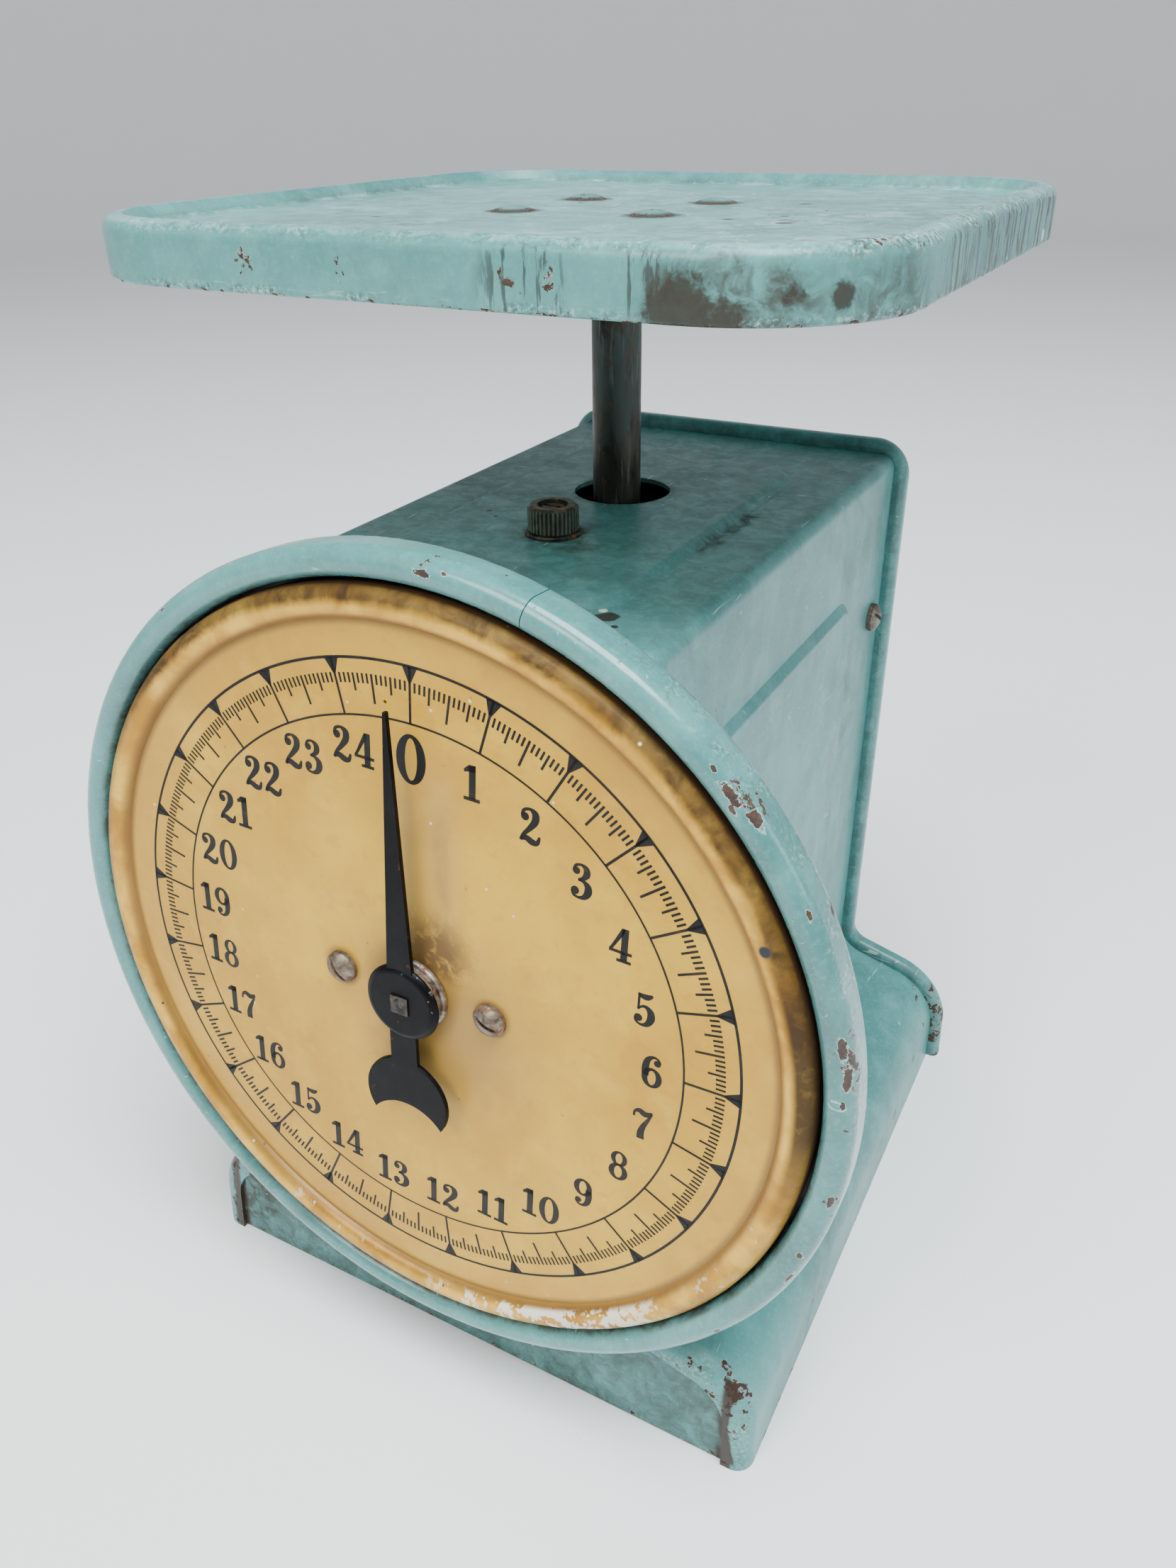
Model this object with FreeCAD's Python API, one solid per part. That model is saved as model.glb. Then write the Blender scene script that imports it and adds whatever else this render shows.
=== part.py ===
import FreeCAD, Part
import os, math

os.makedirs("parts", exist_ok=True)
V = FreeCAD.Vector

# ------------------------------------------------------------------ driving dimensions, mm
# frame: X to the reader's right, Y from the dial to the back, Z up, floor at Z = 0
SHEET = 0.9               # pressed steel sheet
CASE_HALF_W = 41.7        # half width of the upright case
CASE_TOP_Z = 173.4        # flat top of the case
CASE_CORNER_R = 3.0       # bend between top and sides
FOOT_HALF_W = 71.0        # half width of the flared foot at the floor
FLARE_IN = (41.7, 31.5)   # corner where the side turns out into the flare
FLARE_OUT = (70.3, 23.8)  # corner where the flare turns down to the floor
FLARE_IN_R = 8.0
FLARE_OUT_R = 16.0
REAR_Y = 76.8             # back of the rear rim
RIM_PROUD = 3.0           # rear rim stands this far off the wrap
RIM_DEPTH = 4.6
RIM_CORNER_R = 8.5
DIAL_Y, DIAL_Z = -72.2, 103.3   # centre of the dial face
DIAL_LEAN = 4.0           # dial and front lean back, degrees
FRONT_SET = 9.7           # case front behind the dial face
FRONT_BAND = 6.0          # width of the rolled front band
SCALE_R = 65.0            # outer scale circle
BEAD_FOOT_R, BEAD_CREST_R, DIAL_EDGE_R = 71.7, 74.7, 77.7
RING_IN_R, RING_OUT_R = 78.4, 84.0
HOUSING_R = 81.4
PLATFORM_HALF = 70.8
PLATFORM_CORNER_R = 26.0
PLATFORM_TOP_Z, PLATFORM_LOW_Z = 231.7, 222.0
PLATFORM_FLOOR_Z = 229.5
PLATFORM_Y = 8.66
POST_Y, POST_R = 10.4, 4.9
POST_HOLE = (-1.0, 15.0, 10.1)   # x, y and radius; the post stands near its front edge
ADJ_Y = -16.2             # adjusting nut, spring line
SPRING_X = 21.0
SPRING_WIRE_R, SPRING_MEAN_R = 0.8, 5.0
WEB_Z = 134.0             # underside of the yoke's top web
YOKE_X = 12.0
LINK_FIXED_Y, LINK_MOVING_Y = 64.8, 4.8
LINK_UP_Z, LINK_LOW_Z = 112.0, 58.0
PIN_R = 1.5
GEAR_MODULE, GEAR_TEETH = 0.5, 12
SHAFT_R = 1.5

LEAN = math.radians(DIAL_LEAN)
CT, ST, TT = math.cos(LEAN), math.sin(LEAN), math.tan(LEAN)
GEAR_R = GEAR_MODULE * GEAR_TEETH / 2.0
TRAVEL = 2 * math.pi * GEAR_R / CT        # platform travel for one turn of the hand
HALF_TRAVEL = TRAVEL / 2.0


# ------------------------------------------------------------------ helpers
def box(x0, x1, y0, y1, z0, z1):
    return Part.makeBox(x1 - x0, y1 - y0, z1 - z0, V(x0, y0, z0))


def rod(p, d, r, h):
    return Part.makeCylinder(r, h, V(*p), V(*d))


def in_dial(shape):
    """Dial frame (x right, y back along the hand's shaft, z up the dial) to the world."""
    s = shape.copy()
    m = FreeCAD.Placement(V(0, DIAL_Y, DIAL_Z), FreeCAD.Rotation(V(1, 0, 0), -DIAL_LEAN))
    return s.transformed(m.toMatrix(), copy=True) if hasattr(s, "transformed") else s


def path(segs, to3, close=True):
    """segs: start point, then points (line) or (mid, end) pairs (arc)."""
    start = segs[0]
    cur, edges = start, []
    for s in segs[1:]:
        if isinstance(s[0], tuple):
            mid, end = s
            edges.append(Part.Arc(to3(*cur), to3(*mid), to3(*end)).toShape())
            cur = end
        else:
            if (to3(*cur) - to3(*s)).Length > 1e-7:
                edges.append(Part.makeLine(to3(*cur), to3(*s)))
            cur = s
    if close and (to3(*cur) - to3(*start)).Length > 1e-7:
        edges.append(Part.makeLine(to3(*cur), to3(*start)))
    return Part.Wire(edges)


def rounded(pts, radii):
    """Closed polygon with rounded corners as a segment list."""
    n, segs = len(pts), []
    for i in range(n):
        p, a, b, r = pts[i], pts[i - 1], pts[(i + 1) % n], radii[i]
        if r <= 0:
            segs.append([p])
            continue
        ua = (a[0] - p[0], a[1] - p[1])
        ub = (b[0] - p[0], b[1] - p[1])
        la, lb = math.hypot(*ua), math.hypot(*ub)
        ua, ub = (ua[0] / la, ua[1] / la), (ub[0] / lb, ub[1] / lb)
        ang = math.acos(max(-1, min(1, ua[0] * ub[0] + ua[1] * ub[1])))
        t = r / math.tan(ang / 2)
        bis = (ua[0] + ub[0], ua[1] + ub[1])
        lbis = math.hypot(*bis)
        c = (p[0] + bis[0] / lbis * r / math.sin(ang / 2), p[1] + bis[1] / lbis * r / math.sin(ang / 2))
        s, e = (p[0] + ua[0] * t, p[1] + ua[1] * t), (p[0] + ub[0] * t, p[1] + ub[1] * t)
        v = (p[0] - c[0], p[1] - c[1])
        lv = math.hypot(*v)
        m = (c[0] + v[0] / lv * r, c[1] + v[1] / lv * r)
        segs.append([s, (m, e)])
    out = [segs[0][-1][1] if isinstance(segs[0][-1][0], tuple) else segs[0][0]]
    for k in range(1, n):
        out += segs[k]
    out += segs[0]
    if len(segs[0]) == 1:
        out = out[:-1]
    return out


def prism(wire, vec):
    return Part.Face(wire).extrude(V(*vec))


def spin(segs):
    """Solid of revolution about the local Y axis from an (r, y) outline."""
    f = Part.Face(path(segs, lambda r, y: V(r, y, 0)))
    return f.revolve(V(0, 0, 0), V(0, 1, 0), 360)


def dome(r, base, h, side=1):
    """Middle of the spherical cap's outline between (r, base) and (0, base + side * h)."""
    ball = (r * r + h * h) / (2 * h)
    half = math.asin(min(1.0, r / ball)) / 2
    return (ball * math.sin(half), base + side * (h - ball + ball * math.cos(half)))


def spin_z(segs, x=0.0, y=0.0):
    f = Part.Face(path(segs, lambda r, z: V(x + r, y, z)))
    return f.revolve(V(x, y, 0), V(0, 0, 1), 360)


def hexa(r_flat, h, base, axis):
    pts = [(r_flat / math.cos(math.pi / 6) * math.cos(math.radians(60 * k + 30)),
            r_flat / math.cos(math.pi / 6) * math.sin(math.radians(60 * k + 30))) for k in range(6)]
    s = prism(path(pts, lambda a, b: V(a, b, 0)), (0, 0, h))
    s.Placement = FreeCAD.Placement(V(*base), FreeCAD.Rotation(V(0, 0, 1), V(*axis)))
    return s


def line_hit(p, d, q, e):
    """Meeting point of p + t d and q + u e."""
    det = d[0] * (-e[1]) + e[0] * d[1]
    t = ((q[0] - p[0]) * (-e[1]) + e[0] * (q[1] - p[1])) / det
    return (p[0] + d[0] * t, p[1] + d[1] * t)


def case_outline(t, low=0.0, corner=None):
    """Case section in X, Z moved inward by t (outward when t is negative)."""
    x1 = CASE_HALF_W - t
    zt = CASE_TOP_Z - t
    d2 = (FLARE_OUT[0] - FLARE_IN[0], FLARE_OUT[1] - FLARE_IN[1])
    l2 = math.hypot(*d2)
    n2 = (d2[1] / l2, -d2[0] / l2)                       # inward normal of the flare
    p2 = (FLARE_IN[0] + n2[0] * t, FLARE_IN[1] + n2[1] * t)
    d3 = (FOOT_HALF_W - FLARE_OUT[0], -FLARE_OUT[1])
    l3 = math.hypot(*d3)
    n3 = (d3[1] / l3, -d3[0] / l3)
    p3 = (FLARE_OUT[0] + n3[0] * t, FLARE_OUT[1] + n3[1] * t)
    a = line_hit((x1, 0), (0, 1), p2, d2)
    b = line_hit(p2, d2, p3, d3)
    c = line_hit(p3, d3, (0, low), (1, 0))
    rc = corner if corner is not None else max(CASE_CORNER_R - t, 0.6)
    pts = [(x1, zt), a, b, c, (-c[0], low), (-b[0], b[1]), (-a[0], a[1]), (-x1, zt)]
    rad = [rc, FLARE_IN_R + t, FLARE_OUT_R - t, 0, 0, FLARE_OUT_R - t, FLARE_IN_R + t, rc]
    return rounded(pts, rad)


def case_solid(t, y0, y1, low=0.0, corner=None):
    w = path(case_outline(t, low, corner), lambda x, z: V(x, y0, z))
    return prism(w, (0, y1 - y0, 0))


def slab(y0, y1):
    """Layer between two planes parallel to the dial, y0 and y1 behind the dial face."""
    return in_dial(box(-150, 150, y0, y1, -160, 160))


def depth_of(p):
    """How far behind the dial face a world point lies."""
    return (p.y - DIAL_Y) * CT - (p.z - DIAL_Z) * ST


def round_edges(shape, r, test):
    ed = [e for e in shape.Edges if test(e)]
    if not ed:
        return shape
    try:
        return shape.makeFillet(r, ed)
    except Exception:
        out = shape
        for k in range(len(ed)):
            now = [e for e in out.Edges if test(e)]
            done = False
            for e in now:
                try:
                    out = out.makeFillet(r, [e])
                    done = True
                    break
                except Exception:
                    continue
            if not done:
                break
        return out


def at_depth(d, skip_floor=True):
    def test(e):
        pts = [e.valueAt(e.FirstParameter + (e.LastParameter - e.FirstParameter) * k / 4.0) for k in range(5)]
        if any(abs(depth_of(p) - d) > 1e-3 for p in pts):
            return False
        return not (skip_floor and all(p.z < 0.7 for p in pts))
    return test


def at_y(y, skip_floor=True, outside=None):
    def test(e):
        pts = [e.valueAt(e.FirstParameter + (e.LastParameter - e.FirstParameter) * k / 4.0) for k in range(5)]
        if any(abs(p.y - y) > 1e-3 for p in pts):
            return False
        if skip_floor and all(p.z < 0.7 for p in pts):
            return False
        return outside is None or any(outside(p) for p in pts)
    return test


def one(shape):
    """Cleaned single solid."""
    s = shape.removeSplitter()
    return s.Solids[0] if len(s.Solids) == 1 else s


NODES = {}


def node(name, shape):
    NODES[name] = shape


def slotted_head(r, h, edge, slot_w, slot_d):
    """Domed head, seated on y = 0 and rising to y = -h, with a driver slot."""
    s = spin([(0.0, 0.0), (r, 0.0), (r, -edge), (dome(r, -edge, h - edge, -1), (0.0, -h))])
    return s.cut(box(-r - 1, r + 1, -h - 1, -h + slot_d, -slot_w / 2, slot_w / 2))


# ------------------------------------------------------------------ wrap: top, sides and flared feet
def pad(length, width, r, h, shrink=2.6, soft=1.1):
    """Pressed rounded pad on Z = 0, its sides sloping in."""
    def outline(dx, z, rr):
        a, b = length / 2 - dx, width / 2 - dx
        return path(rounded([(a, b), (-a, b), (-a, -b), (a, -b)], [rr] * 4), lambda x, y: V(x, y, z))
    lo = outline(0.0, -0.4, r)
    hi = outline(shrink, h, max(r - shrink, 2.0))
    s = Part.makeLoft([lo, hi], True)
    return round_edges(s, soft, lambda e: all(abs(v.Point.z - h) < 1e-4 for v in e.Vertexes))


PAD_H = 1.4
TOP_PAD = dict(cx=0.0, cy=1.2, lx=56.0, ly=95.0)       # centre and size of the pad on the top
SIDE_PAD = dict(cy=-2.0, cz=96.5, ly=96.0, lz=105.0)   # pad on each side


def pads(drop):
    t = pad(TOP_PAD["lx"], TOP_PAD["ly"], 9.0, PAD_H)
    t.Placement = FreeCAD.Placement(V(TOP_PAD["cx"], TOP_PAD["cy"], CASE_TOP_Z - drop), FreeCAD.Rotation())
    out = [t]
    for sx in (1, -1):
        s = pad(SIDE_PAD["lz"], SIDE_PAD["ly"], 9.0, PAD_H)
        s.Placement = FreeCAD.Placement(V(sx * (CASE_HALF_W - drop), SIDE_PAD["cy"], SIDE_PAD["cz"]),
                                        FreeCAD.Rotation(V(0, 1, 0), 90.0 * sx))
        out.append(s)
    return out


WRAP_END = REAR_Y - 2 * SHEET
front_cut = slab(-60, FRONT_SET)
outer = case_solid(0.0, -95, WRAP_END).cut(front_cut)
outer = round_edges(outer, 4.0, at_depth(FRONT_SET))
cavity = case_solid(SHEET, -95, 120, low=-6).cut(slab(-60, FRONT_SET + SHEET))
cavity = round_edges(cavity, 3.1, at_depth(FRONT_SET + SHEET, False))
for p in pads(0.0):
    outer = outer.fuse(p)
for p in pads(SHEET):
    cavity = cavity.fuse(p)
wrap = outer.cut(cavity)
mouth = case_solid(FRONT_BAND, -95, -40, low=-6, corner=2.5)
wrap = wrap.cut(mouth.common(slab(FRONT_SET - 5, FRONT_SET + SHEET + 0.5)))
wrap = wrap.cut(rod((POST_HOLE[0], POST_HOLE[1], CASE_TOP_Z - 10), (0, 0, 1), POST_HOLE[2], 30))
wrap = wrap.cut(rod((0, ADJ_Y, CASE_TOP_Z - 10), (0, 0, 1), 3.2, 30))
CASE_SCREW_Y, CASE_SCREW_Z = 65.0, 135.7
for sx in (1, -1):
    wrap = wrap.cut(rod((sx * 30, CASE_SCREW_Y, CASE_SCREW_Z), (sx, 0, 0), 1.66, 20))
wrap = one(wrap)
node("case_wrap", wrap)

# ------------------------------------------------------------------ front panel, behind the rolled band
PANEL_Y = FRONT_SET + SHEET
PANEL_BACK = PANEL_Y + SHEET
panel = case_solid(SHEET + 3.4, -95, 0, low=0.4).common(slab(PANEL_Y, PANEL_BACK))
DIAL_SCREW_X, HOUSING_RIVET, BRIDGE_SCREW_X = 16.7, 17.0, 27.5
RIVET_XZ = [(sx * HOUSING_RIVET, sz * HOUSING_RIVET) for sx in (1, -1) for sz in (1, -1)]
drill = [rod((0, -20, 0), (0, 1, 0), 4.55, 60)]
drill += [rod((sx * DIAL_SCREW_X, -20, 0), (0, 1, 0), 1.55, 60) for sx in (1, -1)]
drill += [rod((x, -20, z), (0, 1, 0), 1.24, 60) for x, z in RIVET_XZ]
for d in drill:
    panel = panel.cut(in_dial(d))
for sx in (1, -1):
    panel = panel.cut(in_dial(rod((sx * BRIDGE_SCREW_X, -20, 0), (0, 1, 0), 1.28, 60)))
node("front_panel", one(panel))

# ------------------------------------------------------------------ rear panel with its rounded rim
rim = case_solid(-RIM_PROUD, REAR_Y - RIM_DEPTH, REAR_Y, corner=RIM_CORNER_R)
rim = round_edges(rim, 1.9, lambda e: at_y(REAR_Y)(e) or at_y(REAR_Y - RIM_DEPTH)(e))
rear = rim.cut(case_solid(-0.05, REAR_Y - 20, WRAP_END, low=-3))
rear = rear.cut(case_solid(1.6, REAR_Y - SHEET, REAR_Y + 5, low=-3, corner=4.0))
tongue = case_solid(SHEET + 0.06, WRAP_END - 14, WRAP_END, low=0.6)
tongue = tongue.cut(case_solid(2 * SHEET + 0.06, WRAP_END - 20, WRAP_END + 5, low=-3))
rear = rear.fuse(tongue)
for sx in (1, -1):
    rear = rear.cut(rod((sx * 30, CASE_SCREW_Y, CASE_SCREW_Z), (sx, 0, 0), 1.63, 20))
BRACKET_RIVETS = [(sx * 10.0, z) for sx in (1, -1) for z in (50.0, 104.0)]
for x, z in BRACKET_RIVETS:
    rear = rear.cut(rod((x, 60, z), (0, 1, 0), 1.56, 30))
node("rear_panel", one(rear))

# ------------------------------------------------------------------ dial housing, ring and dial
H = HOUSING_R
housing = spin([(0.0, PANEL_Y), (30.0, PANEL_Y), (32.0, 9.7), (H - 2.4, 9.7), ((H - 0.7, 9.0), (H, 7.3)), (H, 2.2),
                (H - 0.8, 2.2), (H - 0.8, 7.3), ((H - 1.27, 8.43), (H - 2.4, 8.9)), (31.6, 8.9), (29.6, PANEL_Y - 0.8), (0.0, PANEL_Y - 0.8)])
for d in drill:
    housing = housing.cut(d)
node("dial_housing", in_dial(one(housing)))

ring = spin([(RING_IN_R, 3.6), (RING_IN_R, 1.2), ((81.2, -1.6), (RING_OUT_R, 1.2)), (RING_OUT_R, 5.3),
             ((83.5, 6.5), (82.3, 7.0)), (81.5, 7.0), (81.5, 6.3), (82.3, 6.3), ((83.0, 6.0), (83.3, 5.3)), (83.3, 1.2),
             ((81.2, -0.9), (79.1, 1.2)), (79.1, 3.6)])
# the rolled band's two ends butt at the upper right
joint = box(-0.09, 0.09, -5, 10, 70, 90)
joint.rotate(V(0, 0, 0), V(0, 1, 0), 17.4)
ring = ring.cut(joint)
node("bezel_ring", in_dial(one(ring)))

dial = spin([(0.0, 0.0), (BEAD_FOOT_R, 0.0), ((BEAD_CREST_R, -2.1), (DIAL_EDGE_R, 0.9)), (DIAL_EDGE_R, 2.8),
             (DIAL_EDGE_R - 0.6, 2.8), (DIAL_EDGE_R - 0.6, 0.9), ((BEAD_CREST_R, -1.5), (BEAD_FOOT_R + 0.4, 0.6)), (0.0, 0.6)])
dial = dial.cut(rod((0, -5, 0), (0, 1, 0), 3.2, 20))
for sx in (1, -1):
    dial = dial.cut(rod((sx * DIAL_SCREW_X, -5, 0), (0, 1, 0), 1.6, 20))
dial = dial.cut(rod((-3.0, -5, 57.6), (0, 1, 0), 0.35, 20))
node("dial_plate", in_dial(one(dial)))

screws, spacers, nuts = [], [], []
for sx, turn in ((1, 24.0), (-1, 52.0)):
    hd = slotted_head(3.3, 2.5, 0.9, 0.8, 1.0)
    hd.rotate(V(0, 0, 0), V(0, 1, 0), turn)
    s = hd.fuse(rod((0, -0.2, 0), (0, 1, 0), 1.5, PANEL_BACK + 3.4))
    s.translate(V(sx * DIAL_SCREW_X, 0, 0))
    screws.append(s.removeSplitter())
    sp = rod((sx * DIAL_SCREW_X, 0.6, 0), (0, 1, 0), 3.1, PANEL_Y - 1.4).cut(rod((sx * DIAL_SCREW_X, 0, 0), (0, 1, 0), 1.56, 20))
    spacers.append(sp)
    n = hexa(2.75, 2.4, (sx * DIAL_SCREW_X, PANEL_BACK, 0), (0, 1, 0))
    nuts.append(n.cut(rod((sx * DIAL_SCREW_X, 0, 0), (0, 1, 0), 1.53, 30)))
node("dial_screws", in_dial(Part.makeCompound(screws)))
node("dial_spacers", in_dial(Part.makeCompound(spacers)))
node("dial_nuts", in_dial(Part.makeCompound(nuts)))

rivets = []
for x, z in RIVET_XZ:
    a, b = PANEL_Y - 0.8, PANEL_BACK
    r = spin([(0.0, a - 1.2), (dome(2.3, a, 1.2, -1), (2.3, a)), (1.2, a), (1.2, b), (2.1, b), (dome(2.1, b, 1.0), (0.0, b + 1.0))])
    r.translate(V(x, 0, z))
    rivets.append(r)
node("housing_rivets", in_dial(Part.makeCompound(rivets)))

# ------------------------------------------------------------------ movement bridge, bushes, rack guide
b = PANEL_BACK
bush = spin([(SHAFT_R + 0.04, b - 3.6), (4.2, b - 3.6), (4.5, b - 3.3), (4.5, b), (6.6, b), (6.6, b + 1.2), (SHAFT_R + 0.04, b + 1.2)])
node("front_bush", in_dial(bush))
BR_Y = 33.0
leg = []
for sx in (1, -1):
    a, b = sorted((sx * 22.0, sx * 23.2))
    leg.append(box(a, b, PANEL_BACK, BR_Y + 1.2, -7, 7))
    a, b = sorted((sx * 22.0, sx * 32.0))
    leg.append(box(a, b, PANEL_BACK, PANEL_BACK + 1.2, -7, 7))
bridge = box(-23.2, 23.2, BR_Y, BR_Y + 1.2, -7, 7)
for p in leg:
    bridge = bridge.fuse(p)
bridge = bridge.cut(rod((0, 0, 0), (0, 1, 0), 3.03, 60))
bridge = bridge.cut(rod((11.5, 20, 0), (0, 1, 0), 1.03, 60))
for sx in (1, -1):
    bridge = bridge.cut(rod((sx * BRIDGE_SCREW_X, 0, 0), (0, 1, 0), 1.3, 60))
bridge = one(bridge)
bridge = round_edges(bridge, 1.0, lambda e: all(abs(abs(v.Point.x) - 23.2) < 1e-4 and abs(v.Point.y - BR_Y - 1.2) < 1e-4
                                              for v in e.Vertexes))
node("movement_bridge", in_dial(bridge))
bscrews = []
for sx in (1, -1):
    s = rod((sx * BRIDGE_SCREW_X, PANEL_Y + 0.1, 0), (0, 1, 0), 1.25, 2.2).fuse(rod((sx * BRIDGE_SCREW_X, PANEL_BACK + 1.2, 0), (0, 1, 0), 2.6, 1.7))
    s = s.cut(box(sx * BRIDGE_SCREW_X - 4, sx * BRIDGE_SCREW_X + 4, PANEL_BACK + 2.1, PANEL_BACK + 4, -0.35, 0.35))
    bscrews.append(s.removeSplitter())
node("bridge_screws", in_dial(Part.makeCompound(bscrews)))
rb = spin([(SHAFT_R + 0.04, 31.4), (3.0, 31.4), (3.0, 34.2), (4.6, 34.2), (4.6, 35.4), (SHAFT_R + 0.04, 35.4)])
node("rear_bush", in_dial(rb))
RACK_BACK = 7.2
guide = box(RACK_BACK + 0.1, RACK_BACK + 1.1, 20, BR_Y, -5, 5).fuse(box(RACK_BACK + 0.1, 15.0, BR_Y - 1.0, BR_Y, -5, 5))
guide = guide.cut(rod((11.5, 20, 0), (0, 1, 0), 1.03, 60))
node("rack_guide", in_dial(one(guide)))
gs = rod((11.5, 31.0, 0), (0, 1, 0), 1.0, 3.6).fuse(rod((11.5, 34.2, 0), (0, 1, 0), 2.0, 1.3))
gs = gs.cut(box(9, 14, 34.9, 37, -0.3, 0.3))
node("guide_screw", in_dial(one(gs)))

# ------------------------------------------------------------------ hand, shaft and pinion
blade = path([(-0.3, 57.9), (0.3, 57.9), (2.75, 6.6), (3.0, -14.8), (-3.0, -14.8), (-2.75, 6.6)], lambda x, z: V(x, -4.4, z))
hand = prism(blade, (0, 0.9, 0))
moon = rod((0, -4.4, -22.3), (0, 1, 0), 9.2, 0.9).cut(rod((0, -6, -33.3), (0, 1, 0), 9.6, 5))
boss = spin([(0.0, -4.75), (6.2, -4.75), ((7.3, -4.5), (7.9, -3.8)), (7.9, -3.5), (0.0, -3.5)])
hand = one(hand.fuse(moon).fuse(boss))
hand = hand.cut(box(-1.93, 1.93, -6, 0, -1.93, 1.93))
hand = round_edges(hand, 0.22, lambda e: all(abs(v.Point.y + 4.4) < 1e-4 for v in e.Vertexes) and e.Length > 1.2
                   and all(v.Point.z < -12 or v.Point.z > 9 for v in e.Vertexes))
node("pointer_hand", in_dial(hand))
hub = spin([(0.0, -3.5), (6.9, -3.5), (6.9, -1.5), ((7.4, -1.3), (7.6, -0.8)), (7.6, -0.5), (0.0, -0.5)])
hub = hub.cut(box(-1.93, 1.93, -6, 1, -1.93, 1.93))
node("pointer_hub", in_dial(hub))
sq = box(-1.9, 1.9, -5.7, -0.4, -1.9, 1.9)
sq = sq.makeChamfer(0.62, [e for e in sq.Edges if all(abs(v.Point.y + 5.7) < 1e-4 for v in e.Vertexes)])
shaft = sq.fuse(rod((0, -0.5, 0), (0, 1, 0), 2.7, 1.4)).fuse(rod((0, 0, 0), (0, 1, 0), SHAFT_R, 37.0))
node("pointer_shaft", in_dial(one(shaft)))


def pinion_outline():
    """Involute teeth, a tooth space centred on +X."""
    rb_ = GEAR_R * math.cos(math.radians(20))
    ra, rf = GEAR_R + GEAR_MODULE, GEAR_R - 1.25 * GEAR_MODULE
    inv = lambda a: math.tan(a) - a
    half = (math.pi * GEAR_MODULE / 2 - 0.09) / (2 * GEAR_R) + inv(math.radians(20))
    pts = []
    for k in range(GEAR_TEETH):
        c = 2 * math.pi * (k + 0.5) / GEAR_TEETH
        prof = [(rf, half + 0.0)]
        for i in range(5):
            r = rb_ + (ra - rb_) * i / 4.0
            prof.append((r, half - inv(math.acos(min(1.0, rb_ / r)))))
        for r, h in prof:
            pts.append((r * math.cos(c - h), r * math.sin(c - h)))
        for r, h in reversed(prof):
            pts.append((r * math.cos(c + h), r * math.sin(c + h)))
    return pts


pin_f = Part.Face(path(pinion_outline(), lambda x, z: V(x, 20.0, z)))
pinion = pin_f.extrude(V(0, 6.0, 0)).cut(rod((0, 10, 0), (0, 1, 0), SHAFT_R + 0.02, 30))
node("pinion", in_dial(pinion))
node("shaft_collar", in_dial(rod((0, 28.6, 0), (0, 1, 0), 3.2, 2.4).cut(rod((0, 20, 0), (0, 1, 0), SHAFT_R + 0.02, 20))))

# ------------------------------------------------------------------ rack, hung from the yoke
RACK_Y0, RACK_Y1 = -51.2, -47.2
PITCH = math.pi * GEAR_MODULE / CT


def axis_z(y):
    return DIAL_Z - (y - DIAL_Y) * TT


zm = axis_z(RACK_Y0)
tip, root, tan20 = GEAR_R - GEAR_MODULE + 0.06, GEAR_R + 1.25 * GEAR_MODULE, math.tan(math.radians(20))
half_pitch_w = PITCH / 4 - 0.045
pts = [(RACK_BACK, zm - 5.2)]
pts.append((root, zm - 5.2))
for k in range(-2, 15):
    z0 = zm + k * PITCH
    wr = half_pitch_w + (root - GEAR_R) * tan20
    wt = half_pitch_w - (GEAR_R - tip) * tan20
    pts += [(root, z0 - wr), (tip, z0 - wt), (tip, z0 + wt), (root, z0 + wr)]
pts += [(root, 125.9), (RACK_BACK, 125.9)]
bar = Part.Face(path(pts, lambda x, z: V(x, RACK_Y0, z))).extrude(V(0, RACK_Y1 - RACK_Y0, -(RACK_Y1 - RACK_Y0) * TT))
bar = bar.fuse(box(0.4, RACK_BACK, RACK_Y0, RACK_Y1, 125.5, 137.0))
RACK_RIVETS = [(2.3, 130.0), (5.3, 130.0)]
for x, z in RACK_RIVETS:
    bar = bar.cut(rod((x, -60, z), (0, 1, 0), 0.93, 30))
node("rack", one(bar))
rr = []
for x, z in RACK_RIVETS:
    r = rod((x, RACK_Y0 - 0.7, z), (0, 1, 0), 1.35, 0.7)
    r = r.fuse(rod((x, RACK_Y0, z), (0, 1, 0), 0.9, 5.5)).fuse(rod((x, RACK_Y1 + 1.5, z), (0, 1, 0), 1.35, 0.7))
    rr.append(r.removeSplitter())
node("rack_rivets", Part.makeCompound(rr))

# ------------------------------------------------------------------ yoke: one bent stamping
yoke = box(-YOKE_X - 1.2, YOKE_X + 1.2, -24.0, 22.0, WEB_Z, WEB_Z + 1.5)
for sx in (1, -1):
    a, b = sorted((sx * YOKE_X, sx * (YOKE_X + 1.2)))
    side = path(rounded([(-23.0, 52.0), (13.0, 50.0), (22.0, 80.0), (22.0, WEB_Z + 0.2), (-24.0, WEB_Z + 0.2), (-24.0, 80.0)],
                        [6, 6, 10, 0, 0, 10]), lambda y, z: V(a, y, z))
    s = prism(side, (b - a, 0, 0))
    win = path(rounded([(-12.0, 84.0), (13.0, 84.0), (13.0, 104.0), (-12.0, 122.0)], [4, 4, 4, 4]), lambda y, z: V(a - 1, y, z))
    s = s.cut(prism(win, (4, 0, 0)))
    yoke = yoke.fuse(s)
yoke = yoke.fuse(box(-0.6, 8.2, RACK_Y1, -23.0, WEB_Z, WEB_Z + 1.5)).fuse(box(-0.6, 8.2, RACK_Y1, RACK_Y1 + 1.5, 125.9, WEB_Z + 1.5))
yoke = yoke.cut(rod((0, POST_Y, WEB_Z - 5), (0, 0, 1), 3.03, 12))
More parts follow.
